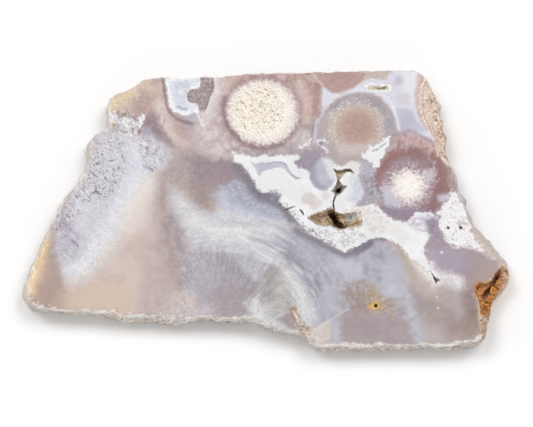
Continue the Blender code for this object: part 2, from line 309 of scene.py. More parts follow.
RUSTY_HOLLOW = (
    (502.5, 266.3), (496.5, 272.5), (491.8, 280), (486.5, 283.3), (479.4, 282.3), (475, 286.4),
    (475.2, 293), (478.4, 300), (480.6, 307.5), (481.2, 314), (480.4, 324), (481.6, 334), (483.5, 341),
    (492, 341), (494, 318), (500, 306), (515, 290), (515, 266),
)
RUSTY_VALLEY = (
    (499.6, 269), (501.5, 272), (497.5, 279.5), (491.5, 286), (489.5, 293), (484, 298.5), (480, 296.5),
    (484.5, 290), (490, 284), (494.5, 276),
)
WEATHERED_SKIN = (
    (425, 70), (421.5, 90), (420.5, 104), (423, 117), (428, 129), (434, 141), (439, 152), (444, 162),
    (460, 166), (460, 70),
)

# Clear parts of the agate, which show less grain than the rest, and how strong the grain is
SMOOTH_AGATE = (
    ((30, 240), (60, 240), (66, 284), (90, 282), (112, 250), (128, 206), (140, 180), (162, 172), (168, 230),
     (178, 280), (150, 320), (20, 320)),
    ((330, 262), (400, 250), (440, 300), (490, 300), (490, 350), (330, 350), (314, 330)),
    TIP_WINDOW,
    LILAC_TOP,
    CLOUD,
)
GRANULATION = 0.17

GROUND = ((197, 184, 182), (189, 175, 175))

# Broad, soft coats, which are painted on the mesh's points
BROAD_COATS = (
    # The left third
    Coat("left_corner", ((188, 165, 153), (179, 155, 145)), (
        area((20, 240), (50, 230), (60, 240), (58, 262), (64, 284), (92, 296), (120, 320), (20, 320)),),
        edge=2.2, ragged=0.8, by="drift"),
    Coat("wedge", ((213, 195, 187), (205, 186, 179)), (
        area((128, 180), (160, 170), (166, 200), (172, 240), (180, 270), (180, 325), (76, 325), (72, 300),
        (86, 285), (106, 262), (118, 236), (126, 206)),), edge=2.4, ragged=0.7, by="drift"),
    Coat("wedge_top", ((225, 213, 206),), (
        area((132, 180), (158, 172), (156, 200), (148, 226), (128, 238), (122, 216)),), edge=2.2,
        ragged=0.5, strength=0.75),
    Coat("wedge_foot", ((214, 191, 174),), (
        area((66, 290), (98, 278), (128, 286), (134, 322), (60, 322)),), edge=2.6, ragged=0.7,
        strength=0.85),
    Coat("wedge_shade", ((193, 177, 174), (186, 168, 167)), (
        area((154, 204), (166, 198), (174, 250), (186, 290), (180, 325), (142, 325), (144, 282),
        (149, 240)),), edge=3.4, ragged=0.7, strength=0.8),
    Coat("wedge_speckle", ((183, 167, 168), (206, 192, 190)), (
        area((150, 287), (180, 280), (176, 322), (140, 322)),), edge=2.4, ragged=0.9, figure="ragged",
        strength=0.45),
    Coat("wedge_glow", ((232, 225, 220),), (
        stripe(6.5, (150, 181), (138, 195), (128, 214), (117, 237), (102, 256), (88, 271), (72, 279)),),
        edge=2.9, ragged=0.5, strength=0.8),
    Coat("yellow_strip", ((238, 211, 168), (231, 202, 158)), (
        stripe(4.4, (47, 240), (42, 255), (37, 268), (33, 279), (30, 290)),), edge=1.7, ragged=0.3),
    Coat("left_mauve", ((174, 156, 152), (166, 147, 147)), (
        stripe(2.6, (57, 224), (53, 238), (53, 255), (55, 270), (58, 285)),), edge=1.8, ragged=0.5,
        strength=0.85),
    Coat("grey_brown_band", ((168, 153, 151), (160, 145, 144)), (
        stripe(4.0, (163, 168), (162, 196), (166, 222), (170, 248), (176, 268), (184, 292)),), edge=2.4,
        ragged=0.6, strength=0.85),
    Coat("violet_border", ((165, 156, 165), (156, 146, 156)), (
        stripe(4.0, (174, 216), (179, 235), (184, 252), (189, 270), (190, 288)),), edge=1.9, ragged=1.0,
        figure="ragged", strength=0.8),

    # The middle, left of the white cloud
    Coat("centre_warm", ((186, 172, 168), (178, 163, 160)), (
        area((160, 150), (176, 146), (200, 142), (236, 148), (242, 170), (240, 186), (225, 200), (212, 212),
        (188, 212), (172, 196), (160, 172)),), edge=1.5, ragged=0.8),
    Coat("centre_mauve", ((163, 146, 151), (156, 140, 147)), (
        area((186, 158), (212, 150), (234, 158), (246, 176), (242, 190), (226, 193), (208, 198), (196, 188),
        (189, 172)),), edge=1.9, ragged=0.8),
    Coat("centre_taupe", ((170, 154, 148), (163, 146, 142)), (
        area((192, 184), (212, 184), (213, 211), (194, 211)),), edge=1.6, ragged=0.5, strength=0.9),
    fluffy("beside_cloud", ((126, 121, 132), (148, 142, 153)), (
        area((242, 166), (250, 174), (256, 186), (264, 190), (276, 189), (284, 196), (290, 210), (300, 224),
        (292, 226), (281, 214), (266, 207), (254, 202), (248, 190), (242, 178)),), edge=1.1, ragged=1.0,
        strength=0.9),

    # The plume at the lower middle
    Coat("plume_bright", ((208, 206, 210), (199, 197, 204)), (
        area((171, 188), (178, 191), (188, 200), (198, 211), (220, 210), (246, 204), (268, 208), (288, 222),
        (302, 238), (314, 262), (319, 290), (322, 325), (296, 332), (250, 325), (172, 325), (182, 300),
        (192, 280), (192, 262), (187, 240), (179, 214)),), edge=1.7, ragged=0.9, by="cloudy",
        figure="plume_bands"),
    Coat("plume_glow", ((220, 219, 220), (212, 210, 213)), (
        stripe(6.5, (180, 203), (191, 216), (204, 226), (226, 234), (252, 239), (274, 252), (291, 272),
        (300, 292), (306, 314)), stripe(5.5, (224, 214), (250, 218), (274, 222))), edge=2.6, ragged=0.9,
        by="plume_bands", figure="plume_bands"),
    Coat("plume_cream", ((234, 231, 227),), (
        stripe(4.8, (192, 222), (212, 230), (236, 231), (262, 238)),), edge=1.9, ragged=0.8,
        by="plume_bands", strength=0.7),
    Coat("plume_blue", ((205, 209, 223), (190, 194, 211)), (
        area((214, 194), (230, 184), (248, 190), (262, 202), (282, 217), (268, 222), (244, 216),
        (224, 208)),), edge=1.8, ragged=1.0, figure="ragged", strength=0.9),
    Coat("plume_inside", ((173, 165, 173), (164, 156, 164)), (
        area((194, 268), (204, 256), (226, 254), (246, 258), (262, 270), (264, 290), (258, 322), (204, 322),
        (196, 300)),), edge=2.9, ragged=1.1, by="plume_rays", figure="plume_rays"),
    Coat("plume_lilac", ((183, 178, 189),), (
        area((198, 266), (214, 262), (220, 278), (214, 300), (202, 302), (194, 284)),), edge=2.2,
        ragged=0.8, strength=0.6),
    Coat("plume_lilac_left", ((176, 170, 179), (164, 157, 168)), (
        area((180, 248), (194, 252), (197, 272), (194, 292), (185, 290)),), edge=1.9, ragged=1.0,
        figure="ragged", strength=0.75),
    Coat("plume_brown", ((172, 160, 162),), (
        area((216, 288), (250, 284), (252, 318), (212, 318)),), edge=2.8, ragged=0.8, strength=0.8),
    Coat("plume_dark_wisps", ((152, 147, 155),), (
        stripe(4.0, (228, 262), (240, 270), (252, 284)), stripe(2.5, (204, 253), (222, 257), (236, 262))),
        edge=2.0, ragged=1.0, by="plume_rays", strength=0.7),
    Coat("plume_white_patch", ((222, 220, 223),), (
        area((248, 303), (257, 298), (264, 308), (267, 322), (248, 322)),), edge=1.7, ragged=0.8),
    Coat("plume_upper_right_blue", ((206, 206, 215),), (
        stripe(4, (246, 264), (256, 276)),), edge=1.6, ragged=0.6, strength=0.75),
    Coat("green_lobe", ((194, 190, 188), (180, 175, 172)), (
        area((262, 274), (272, 266), (284, 270), (292, 280), (295, 296), (294, 308), (286, 318), (270, 316),
        (264, 298)),), edge=1.8, ragged=0.8, by="plume_rays", figure="ragged"),
    Coat("green_lobe_stripe", ((154, 146, 146),), (
        stripe(4.4, (272, 268), (269, 281), (268, 295)),), edge=1.7, ragged=0.8, by="plume_rays",
        strength=0.9),
    Coat("lobe_line", ((160, 154, 156),), (
        stripe(1.2, (289, 268), (294.5, 280), (296, 294), (294.5, 308)),), edge=0.9, ragged=0.5,
        strength=0.6),
    Coat("foot_sugar", ((214, 206, 206), (198, 184, 180)), (
        area((172, 296), (184, 289), (197, 295), (202, 322), (166, 322)),), edge=1.6, ragged=0.9,
        figure="ragged", strength=0.85),
    Coat("foot_light", ((206, 201, 204),), (
        spot(208, 310, 5), stripe(3, (202, 322), (226, 324), (250, 322))), edge=2.0, ragged=0.9,
        by="plume_rays", strength=0.85),

    # The grey-blue band below the cloud
    Coat("blue_band", ((187, 186, 196), (176, 175, 186)), (
        area((276, 222), (288, 224), (302, 234), (330, 248), (350, 257), (362, 262), (378, 282), (352, 312),
        (322, 326), (315, 320), (314, 300), (308, 280), (300, 266), (286, 250), (276, 238)),), edge=2.0,
        ragged=1.1, by="plume_bands", figure="plume_bands"),
    Coat("blue_band_dark", ((166, 165, 177),), (
        stripe(3.0, (254, 235), (267, 243), (280, 252), (294, 265), (304, 276), (310, 290)), stripe(3.0,
        (296, 238), (318, 250), (340, 260)), stripe(4, (336, 274), (342, 288))), edge=1.8, ragged=1.1,
        by="plume_bands", strength=0.8),
    Coat("blue_band_grey", ((186, 182, 190),), (
        area((318, 276), (332, 280), (338, 294), (332, 304), (320, 308), (318, 292)),), edge=2.0,
        ragged=0.9, strength=0.8),
    Coat("band_valley", ((150, 148, 161),), (
        stripe(5.0, (290, 256), (302, 267), (313, 276), (319, 286)),), edge=2.0, ragged=1.2,
        by="plume_bands", strength=0.95),
    Coat("blue_band_light", ((199, 198, 210),), (
        area((330, 256), (362, 262), (372, 280), (356, 288), (338, 272)),), edge=1.4, ragged=0.6,
        strength=0.8),
    Coat("plume_arm", ((213, 212, 213),), (
        stripe(4.0, (289, 274), (297, 287), (302, 300), (306, 316)),), edge=1.8, ragged=0.8,
        by="plume_bands", strength=0.85),

    # The lower right
    Coat("under_shore", ((184, 181, 192), (174, 171, 182)), (
        area((350, 258), (362, 248), (378, 241), (392, 243), (402, 256), (404, 272), (390, 268),
        (370, 268)),), edge=1.6, ragged=0.8, figure="ragged"),
    Coat("column", ((196, 195, 205), (187, 185, 195)), (
        area((368, 262), (384, 258), (396, 264), (408, 284), (417, 305), (432, 350), (410, 350), (404, 325),
        (398, 312), (382, 298), (372, 284)),), edge=2.2, ragged=0.8),
    Coat("column_shade", ((158, 153, 163),), (
        spot(380, 258, 4.5), stripe(2.4, (366, 268), (364, 282)), stripe(2.0, (374, 270), (378, 280))),
        edge=1.7, ragged=0.9, by="ragged", strength=0.85),
    Coat("brown_haze", ((157, 140, 133), (168, 153, 148)), (
        area((342, 286), (356, 281), (372, 284), (380, 294), (394, 299), (403, 308), (396, 315), (372, 317),
        (352, 316), (342, 302)),), edge=2.3, ragged=1.3, by="ragged", figure="ragged"),
    Coat("golden_haze", ((186, 160, 122),), (
        spot(376, 304, 6), stripe(2.5, (370, 292), (376, 302), (390, 310), (394, 316))), edge=1.7,
        ragged=1.2, by="ragged", strength=0.6),
    Coat("brown_window", ((173, 161, 163), (166, 153, 157)), (
        area((333, 319), (348, 313), (372, 312), (398, 308), (409, 320), (414, 350), (330, 350)),),
        edge=1.9, ragged=0.6),
    Coat("lower_right", ((177, 162, 158), (169, 154, 151)), (
        area((416, 292), (440, 290), (474, 288), (490, 318), (490, 350), (444, 350), (430, 332),
        (420, 312)),), edge=2.6, ragged=0.9),
    Coat("lower_brown", ((156, 137, 131),), (
        area((452, 314), (466, 310), (480, 306), (484, 330), (462, 334), (450, 330)),), edge=2.2,
        ragged=0.7, strength=0.95),
    Coat("lower_lilac", ((189, 178, 179),), (
        area((424, 324), (442, 328), (446, 348), (424, 348)),), edge=1.9, ragged=0.6, strength=0.85),
    Coat("window_dark", ((161, 151, 156),), (
        area((412, 288), (424, 292), (428, 306), (420, 314), (412, 300)),), edge=2.0, ragged=0.6,
        strength=0.85),
    Coat("lilac_stripe", ((184, 174, 179),), (
        area((446, 288), (464, 284), (466, 314), (458, 320), (450, 306)),), edge=2.2, ragged=0.7,
        strength=0.65),
    Coat("rust_shade", ((144, 124, 118),), (
        stripe(6.0, (484, 275), (475, 284), (469, 296), (473, 312)),), edge=2.2, ragged=0.6, strength=0.9),
    Coat("right_beige", ((196, 184, 178), (188, 175, 170)), (
        area((415, 266), (430, 272), (440, 280), (446, 290), (438, 298), (424, 296), (418, 284)),),
        edge=2.0, ragged=0.6),
    Coat("right_cream", ((232, 226, 222),), (
        area((410, 256), (420, 264), (432, 272), (442, 282), (434, 288), (426, 280), (416, 268)),),
        edge=1.6, ragged=0.5, strength=0.9),
    Coat("right_brown", ((180, 165, 159),), (
        stripe(2.5, (402, 254), (409, 266), (413, 276), (415, 286)),), edge=1.6, ragged=0.6, strength=0.85),
    Coat("rim_warm", ((200, 180, 167),), (
        stripe(4.0, (472, 226), (480, 238), (490, 250), (500, 260), (508, 268)),), edge=1.2, ragged=0.6,
        strength=0.85),
    Coat("tip_window", ((162, 146, 151), (171, 153, 156)), (area(*TIP_WINDOW),), edge=1.3, ragged=0.6),
    Coat("tip_glow", ((178, 157, 149),), (
        area((480, 262), (498, 262), (500, 272), (488, 284), (474, 283)),), edge=1.4, ragged=0.4,
        strength=0.75),
    Coat("tip_violet", ((172, 162, 178),), (
        area((424, 248), (442, 244), (462, 252), (470, 268), (452, 274), (432, 266)),), edge=2.4,
        ragged=0.8, strength=0.8),
    Coat("fringe_haze", ((236, 233, 236),), (
        stripe(4.0, (427, 264), (433, 271), (441, 276), (450, 278)),), edge=1.6, ragged=0.8, strength=0.85),

    # The upper left lobe
    fluffy("under_pocket", ((182, 166, 173), (168, 153, 164)), (
        area((172, 119), (184, 118), (198, 122), (197, 134), (201, 146), (190, 154), (178, 148), (170, 138),
        (172, 128)),), edge=1.4, ragged=0.9),
    Coat("lobe_pink", ((205, 182, 176), (192, 166, 161)), (
        area(*LOBE_PINK),), edge=1.3, ragged=0.7, by="fluff"),
    Coat("lobe_beige", ((224, 206, 190), (212, 191, 174)), (
        area(*LOBE_BEIGE),), edge=1.3, ragged=0.6, by="fluff"),
    fluffy("lobe_brown", ((186, 159, 151), (176, 150, 144)), (
        area((132, 100), (146, 88), (154, 100), (152, 116), (138, 116), (128, 110)),), edge=1.5, ragged=0.8,
        strength=0.8),
    fluffy("lobe_light", ((225, 210, 206), (208, 190, 187)), (
        stripe(6.5, (160, 104), (162, 116), (167, 130), (175, 143)),), edge=1.6, ragged=0.8, strength=0.9),
    fluffy("lobe_dark", ((150, 130, 137), (164, 145, 150)), (area(*LOBE_DARK),), edge=1.3, ragged=0.7),
    Coat("lobe_blue", ((172, 165, 184),), (
        area((141, 127), (148, 127), (156, 135), (156, 141), (148, 139), (142, 133)),), edge=1.1,
        ragged=0.5, by="fluff", strength=0.75),

    # The lilac veil on the left
    Coat("veil", ((208, 205, 213), (214, 212, 219)), (area(*LEFT_VEIL),), edge=1.9, ragged=0.9, by="fluff"),
    Coat("veil_streak", ((226, 226, 234), (220, 220, 229)), (
        stripe(5.0, (134, 148), (139, 166), (133, 182), (121, 200), (108, 224), (94, 246), (80, 262),
        (70, 269)),), edge=2.3, ragged=0.7, strength=0.9),
    fluffy("veil_white", ((236, 234, 234), (228, 225, 227)), (
        stripe(3.4, (142, 176), (131, 194), (122, 212), (109, 236), (94, 256), (78, 270)),), edge=2.3,
        ragged=0.8, strength=0.85),
    fluffy("veil_top", ((222, 220, 224), (203, 199, 208)), (
        area((140, 141), (150, 139), (163, 147), (168, 154), (165, 161), (156, 168), (147, 171),
        (142, 160)),), edge=1.2, ragged=0.7),
    Coat("veil_edge", ((176, 170, 181),), (
        area((60, 214), (70, 220), (82, 238), (80, 254), (68, 262), (57, 252), (56, 230)),), edge=1.9,
        ragged=0.9, by="fluff", strength=0.7),

    # Round the first flower
    fluffy("first_halo", ((217, 205, 203), (198, 181, 181)), (
        area(*FIRST_HALO), spot(262, 112, 51)), edge=1.8, ragged=1.1),
    fluffy("first_blush", ((196, 170, 168), (182, 155, 155)), (
        spot(262, 112, 45),), edge=1.6, ragged=1.0, strength=0.6),
    # A pale streak along the right edge of the pocket and its lumps: partly their whitish colour, partly
    # painted light on that edge
    Coat("halo_pale_lit_edge", ((231, 224, 222),), (
        stripe(3.6, (217, 78), (215, 92), (209, 106), (203, 120)),), edge=1.2, ragged=1.0, by="fluff",
        strength=0.85),
    fluffy("first_under", ((188, 174, 177), (168, 154, 160)), (
        area((230, 147), (300, 144), (306, 158), (270, 160), (234, 156)),), edge=1.0, ragged=0.8,
        strength=0.9),
    fluffy("between_flowers", ((192, 178, 178), (166, 154, 162)), (
        area((300, 122), (316, 118), (330, 108), (336, 130), (336, 156), (322, 162), (300, 158),
        (294, 148)),), edge=0.9, ragged=0.9),
    fluffy("flower_foot", ((222, 213, 213), (200, 188, 190)), (
        area((294, 134), (304, 130), (314, 134), (310, 146), (298, 148)),), edge=1.1, ragged=1.1,
        strength=0.9),
    fluffy("red_brown", ((202, 175, 168), (176, 145, 141)), (area(*RED_BROWN),), edge=0.9, ragged=0.9),
    Coat("red_brown_light", ((218, 198, 191),), (
        stripe(3.4, (299, 84), (305, 98), (306, 118)), stripe(3, (232, 78), (226, 92))), edge=1.0,
        ragged=1.2, by="fluff", strength=0.75),
    Coat("red_brown_dark", ((174, 143, 142),), (
        stripe(2.8, (317, 86), (317.5, 100), (315, 116)),), edge=0.7, ragged=0.5, strength=0.75),

    # At the bottom edge
    Coat("triangle_blue", ((196, 193, 203),), (
        area((329, 322), (338, 318), (343, 348), (331, 348)),), edge=1.5, ragged=0.6, strength=0.9),
    Coat("column_line", ((156, 143, 144),), (
        stripe(1.2, (399, 316), (404, 325), (410, 335), (416, 346)),), edge=0.9, ragged=0.4, strength=0.45),

    # The third flower's rings
    fluffy("right_violet", ((166, 148, 160), (178, 164, 176)), (
        area((424, 208), (446, 194), (448, 212), (442, 224), (430, 230), (418, 222)),), edge=1.6,
        ragged=0.9),
    Coat("third_outer", ((153, 121, 121), (145, 114, 117)), (
        spot(410, 185, 37.5), area((436, 158), (452, 170), (453, 186), (450, 191), (440, 208), (430, 214),
        (424, 190))), edge=1.1, ragged=0.7, by="fluff"),
    fluffy("third_band", ((204, 176, 173), (178, 149, 147)), (
        area((386, 142), (396, 135), (410, 134), (426, 138), (440, 146), (450, 165), (442, 164), (428, 152),
        (410, 146), (396, 149), (386, 158), (380, 168), (376, 176), (376, 160)),), edge=0.9, ragged=0.8),
    fluffy("third_mauve", ((160, 135, 143), (170, 147, 156)), (spot(407, 184, 29),), edge=1.6, ragged=0.9),
    fluffy("third_dark", ((138, 96, 91), (152, 112, 108)), (
        stripe(3.6, (382, 168), (388, 159), (396, 152.5), (407, 149.5), (419, 150), (430, 154), (441, 162)),
        stripe(3.0, (440, 176), (441, 192), (435, 204)), stripe(2.6, (374, 186), (375, 176), (380, 168))),
        edge=1.4, ragged=0.9, strength=0.92),
)

# Coats with detail finer than the mesh, which the material lays over the broad ones
COATS = (
    # Streaks along the plume's bend and hairs that hang from it
    Coat("plume_streaks", ((235, 234, 234),), (
        area((172, 196), (186, 204), (206, 218), (236, 214), (262, 214), (286, 226), (302, 250), (314, 280),
        (316, 320), (300, 322), (292, 290), (276, 266), (246, 252), (212, 250), (190, 240), (178, 218)),),
        edge=0.45, ragged=1.0, by="plume_bands", sparse=0.30, strength=0.55),
    Coat("plume_troughs", ((166, 165, 176),), (
        area((172, 200), (186, 208), (206, 218), (236, 212), (262, 212), (288, 228), (330, 252), (352, 262),
        (344, 300), (318, 322), (300, 322), (292, 290), (276, 266), (246, 252), (212, 250), (190, 244),
        (178, 222)),), edge=0.45, ragged=-1.0, by="plume_bands", sparse=0.42, strength=0.45),
    Coat("band_lights", ((204, 203, 212),), (
        area((290, 236), (330, 252), (360, 262), (384, 262), (404, 290), (420, 340), (404, 340), (380, 300),
        (344, 308), (320, 318), (314, 286)),), edge=0.5, ragged=1.0, by="ragged", sparse=0.35,
        strength=0.5),
    Coat("plume_hairs", ((210, 207, 212),), (
        area((184, 240), (206, 248), (240, 250), (268, 262), (286, 276), (292, 312), (270, 318), (258, 290),
        (236, 284), (214, 286), (190, 296), (180, 280)),), edge=0.6, ragged=1.0, by="plume_hairs",
        sparse=0.30, strength=0.38),
    Coat("plume_hair_shades", ((150, 145, 152),), (
        area((184, 244), (206, 252), (240, 254), (268, 264), (286, 278), (292, 312), (260, 322), (200, 322),
        (180, 310), (182, 270)),), edge=0.6, ragged=-1.0, by="plume_hairs", sparse=0.38, strength=0.3),
    Coat("foot_specks", ((186, 158, 138),), (
        area((172, 298), (184, 291), (198, 298), (202, 322), (168, 322)),), edge=0.25, ragged=1.0,
        by="stroke", sparse=0.40, strength=0.6),

    # The broken glassy triangles at the bottom edge
    fluffy("triangle_light", ((208, 196, 190), (218, 208, 202)), (
        area((309, 333), (330, 319), (330, 348), (312, 345)),), edge=0.6, ragged=0.4),
    fluffy("triangle_mauve", ((156, 143, 141), (174, 162, 160)), (
        area((277, 319), (292, 311), (300, 322), (305, 331), (292, 330)),), edge=0.6, ragged=0.4,
        strength=0.95),
    Coat("fracture_line", ((222, 219, 219),), (
        stripe(0.4, (309, 333.5), (320, 326), (334, 317.5), (347.8, 309)), stripe(0.4, (276, 317),
        (284, 313.6), (292, 310.8))), edge=0.3, ragged=0.35, by="grain", strength=0.7),

    # The upper left lobe
    fluffy("lobe_yellow", ((222, 198, 160), (230, 210, 178)), (
        stripe(3.2, (112, 107), (116, 101), (124, 97)), spot(131, 94, 2.6)), edge=1.1, ragged=1.1,
        strength=0.8),

    # The lilac veil on the left
    Coat("veil_specks", ((142, 131, 143),), (
        area((98, 139), (112, 134), (124, 142), (127, 166), (118, 186), (106, 198), (84, 202), (74, 198),
        (86, 180), (93, 158)), area((62, 207), (74, 200), (80, 212), (74, 226), (66, 236), (57, 228))),
        edge=0.22, ragged=1.0, by="stroke", sparse=0.30, strength=0.72),
    Coat("veil_top_specks", ((158, 150, 162),), (
        area((138, 138), (156, 141), (165, 152), (162, 164), (152, 171), (143, 166)),), edge=0.22,
        ragged=1.0, by="stroke", sparse=0.3, strength=0.8),
    Coat("veil_lights", ((236, 236, 240),), (
        area(*LEFT_VEIL),), edge=0.25, ragged=1.0, by="needle", sparse=0.42, strength=0.55),
    Coat("veil_marks", ((122, 112, 124),), (
        stripe(1.0, (95.5, 186), (96.5, 191), (93, 193)), stripe(0.9, (96.5, 191), (100, 194)), stripe(0.9,
        (91, 172), (95, 175), (97, 177)), spot(98, 163.5, 1.8), spot(102, 154, 1.2), stripe(0.7, (109, 161),
        (115, 160)), stripe(0.7, (122, 155), (124, 162)), stripe(0.8, (104, 177), (107, 180), (110, 182)),
        spot(103, 189, 1.3), spot(95, 157, 1.0), stripe(0.9, (72, 240), (75, 243.5), (78.5, 246)), spot(147,
        148, 1.2), spot(144.5, 157, 0.9), stripe(0.8, (146, 166), (150, 169), (153, 171)), stripe(0.7,
        (66, 214), (69, 217)), stripe(0.8, (62, 222), (66, 225))), edge=0.14, ragged=0.22, by="grain",
        strength=0.75),

    # The crystal-filled break at the lobe's foot
    fluffy("crystals", ((247, 245, 247), (224, 218, 222)), (area(*BROKEN_CRYSTALS),), edge=0.6, ragged=1.1),
    Coat("crystal_zigzag", ((250, 249, 248),), (
        stripe(1.1, (110, 113), (117, 119), (124, 122), (130, 130), (132, 135)), stripe(0.9, (127, 113),
        (129, 121)), stripe(1.2, (134, 121), (140, 126), (142, 121), (144, 116))), edge=0.18, ragged=0.25,
        by="grain"),
    Coat("crystal_shadow", ((160, 140, 132),), (
        area((110, 113), (128, 111), (142, 116), (142, 126), (134, 134), (122, 130), (110, 126)),),
        edge=0.22, ragged=1.0, by="stroke", sparse=0.4, strength=0.5),
    Coat("crystal_gold", ((196, 158, 96),), (
        spot(122.5, 115.5, 1.5), spot(113, 124, 1.6), spot(128, 116, 0.8)), edge=0.25, ragged=0.3),
    Coat("crystal_brown", ((140, 118, 112),), (
        stripe(1.3, (132, 128), (133, 134)), stripe(1.2, (140, 130), (139, 135)), spot(118, 112, 1.0)),
        edge=0.3, ragged=0.3, strength=0.8),

    # The first flower and what surrounds it
    fluffy("first_ring", ((172, 145, 145), (156, 128, 131)), (
        spot(262.5, 112, 39.2),), edge=1.4, ragged=0.7),
    Coat("first_shadow", ((122, 99, 107),), (
        stripe(1.8, (225.5, 98), (224.5, 112), (227.5, 123), (233.5, 133), (243, 142), (256, 147),
        (270, 146.5), (282, 142), (292, 133.5), (297.5, 122)),), edge=1.2, ragged=0.7, by="fluff",
        strength=0.85),
    fluffy("first_disc", ((240, 229, 223), (228, 213, 208)), (area(*FIRST_DISC),), edge=1.1, ragged=1.0),
    fluffy("first_heart", ((251, 246, 237), (246, 236, 222)), (spot(261, 111, 29),), edge=1.9, ragged=0.8),
    Coat("first_cream", ((226, 202, 164),), (
        spot(257, 109, 25),), edge=0.3, ragged=1.0, by="speck", sparse=0.24, strength=0.5),
    Coat("first_specks", ((150, 110, 72),), (
        spot(260, 110, 25),), edge=0.2, ragged=1.0, by="stroke", sparse=0.46, strength=0.8),
    Coat("first_sparks", ((254, 252, 248),), (
        spot(262, 112, 34),), edge=0.25, ragged=1.0, by="grain", sparse=0.35, strength=0.7),

    # The top right: brown-pink patch, lilac field, second flower
    Coat("top_greige", ((206, 192, 186), (196, 181, 173)), (
        area((352, 68), (398, 68), (394, 78), (386, 81), (372, 79), (362, 82)),), edge=0.7, ragged=0.5),
    Coat("brown_pink", ((189, 160, 153), (181, 151, 146)), (area(*BROWN_PINK),), edge=0.35, ragged=0.3),
    Coat("light_line", ((224, 198, 180),), (
        stripe(1.1, (311, 71), (316, 78), (322, 85)),), edge=0.4, ragged=0.2, strength=0.85),
    Coat("lilac_top", ((225, 224, 233), (217, 216, 228)), (area(*LILAC_TOP),), edge=0.5, ragged=0.4),
    Coat("lilac_pale", ((236, 233, 238),), (
        area((402, 72), (418, 72), (415, 92), (404, 90)), stripe(2.0, (362, 90), (352, 91), (340, 95))),
        edge=0.9, ragged=0.4, strength=0.8),
    Coat("lilac_beige", ((214, 206, 207),), (
        area((396, 94), (409, 94), (410, 104), (397, 105)), spot(393, 84, 3.2)), edge=0.8, ragged=0.3,
        strength=0.85),
    Coat("lilac_deep", ((188, 182, 198), (198, 195, 211)), (
        area((397, 110), (412, 110), (417, 122), (426, 131), (414, 133), (400, 132)), spot(399, 80, 3.4)),
        edge=1.0, ragged=0.3, strength=0.9),
    Coat("lilac_line", ((238, 238, 243),), (
        stripe(1.0, (384, 90), (391, 101), (396, 116), (398.5, 129)),), edge=0.4, ragged=0.2, strength=0.8),
    Coat("second_outer", ((166, 158, 164), (180, 172, 175)), (
        spot(359, 127.5, 37.2),), edge=0.8, ragged=0.5, by="fluff"),
    Coat("second_foot", ((190, 177, 176), (176, 163, 166)), (
        area((328, 138), (346, 146), (366, 146), (374, 156), (362, 162), (345, 167), (331, 160)),),
        edge=0.9, ragged=0.6, figure="grain"),
    fluffy("second_left", ((206, 194, 188), (162, 150, 156)), (
        area((320, 116), (334, 108), (346, 118), (342, 146), (326, 146), (318, 130)),), edge=0.9,
        ragged=0.8, strength=0.9),
    fluffy("second_speckle", ((212, 197, 188), (184, 168, 164)), (
        spot(357, 129, 27),), edge=1.2, ragged=1.1),
    Coat("second_sparks", ((236, 226, 218),), (
        spot(356, 124, 28),), edge=0.3, ragged=1.0, by="stroke", sparse=0.22, strength=0.6),
    fluffy("second_core", ((179, 150, 138), (187, 159, 148)), (
        spot(357, 128, 18.5),), edge=2.4, ragged=0.9),
    Coat("second_pink_foot", ((206, 193, 189),), (
        area((336, 144), (366, 144), (364, 154), (340, 156)),), edge=1.0, ragged=0.5, strength=0.7),
    Coat("vein_shadow", ((150, 137, 146),), (
        stripe(1.0, (313.6, 120), (312.6, 133), (310.6, 143)),), edge=0.4, ragged=0.25, strength=0.75),
    Coat("vein", ((206, 199, 213),), (
        stripe(1.5, (326, 106.4), (321.6, 115.4), (316.5, 122.5), (315.4, 134), (314, 142), (319, 144)),),
        edge=0.4, ragged=0.25, strength=0.9),
    Coat("vein_tips", ((242, 241, 243),), (
        stripe(1.1, (300, 148), (305, 144.5), (308, 145), (311, 139)), stripe(1.1, (318, 140.5), (324, 140),
        (327, 142.5)), stripe(0.9, (320, 146), (326, 149), (328, 152))), edge=0.25, ragged=0.35, by="grain",
        strength=0.9),
    Coat("vein_crescent", ((122, 112, 126),), (
        stripe(0.9, (320, 142), (321, 145), (319.5, 147)),), edge=0.2, ragged=0.1, strength=0.8),

    # The white pocket with its painted shade, and its brown lumps
    Coat("lobe_seam", ((142, 118, 124),), (
        stripe(1.5, (163.5, 80), (165, 95), (166.5, 104), (169.5, 112.5), (176, 118), (184, 121.5),
        (193, 124)),), edge=0.4, ragged=0.25, strength=0.85),
    fluffy("pocket_white", ((232, 233, 240), (224, 225, 234)), (
        area(*WHITE_POCKET),), edge=0.35, ragged=0.4),
    Coat("pocket_rim", ((250, 250, 252),), (
        stripe(1.5, (167, 82), (169.5, 94), (171, 105), (174, 109.5), (183, 113), (191, 113), (196, 110)),
        stripe(1.1, (200, 80), (199, 88), (191, 88), (186.5, 93), (187, 99)), stripe(1.4, (168, 79),
        (186, 78), (198, 77)), stripe(0.8, (196, 112), (203.5, 126))), edge=0.45, ragged=0.35, by="fluff",
        strength=0.95),
    # Painted shade inside the white pocket: a grey-blue area, and a dark grey crescent at its foot
    Coat("pocket_painted_shade", ((204, 206, 218),), (
        area((174, 82), (184, 80), (190, 84), (188, 92), (184, 100), (186, 106), (179, 104), (175, 97)),),
        edge=1.1, ragged=0.5, strength=0.75),
    Coat("pocket_heart", ((236, 237, 243),), (spot(181, 92, 2.6),), edge=0.8, ragged=0.2, strength=0.8),
    Coat("pocket_shade_crescent", ((150, 152, 168),), (
        stripe(1.3, (178, 106.5), (182, 109), (186, 109)),), edge=0.45, ragged=0.15, strength=0.85),
    Coat("pocket_lilac", ((192, 187, 200),), (
        area((187, 116), (192, 112), (198, 114), (198, 121), (190, 121)),), edge=0.5, ragged=0.3,
        strength=0.8),
    Coat("brown_lumps", ((186, 172, 172), (146, 126, 130)), (
        area(*BROWN_LUMPS),), edge=0.25, ragged=0.4, by="fluff", figure="speck"),
    Coat("lump_edges", ((128, 110, 112),), (
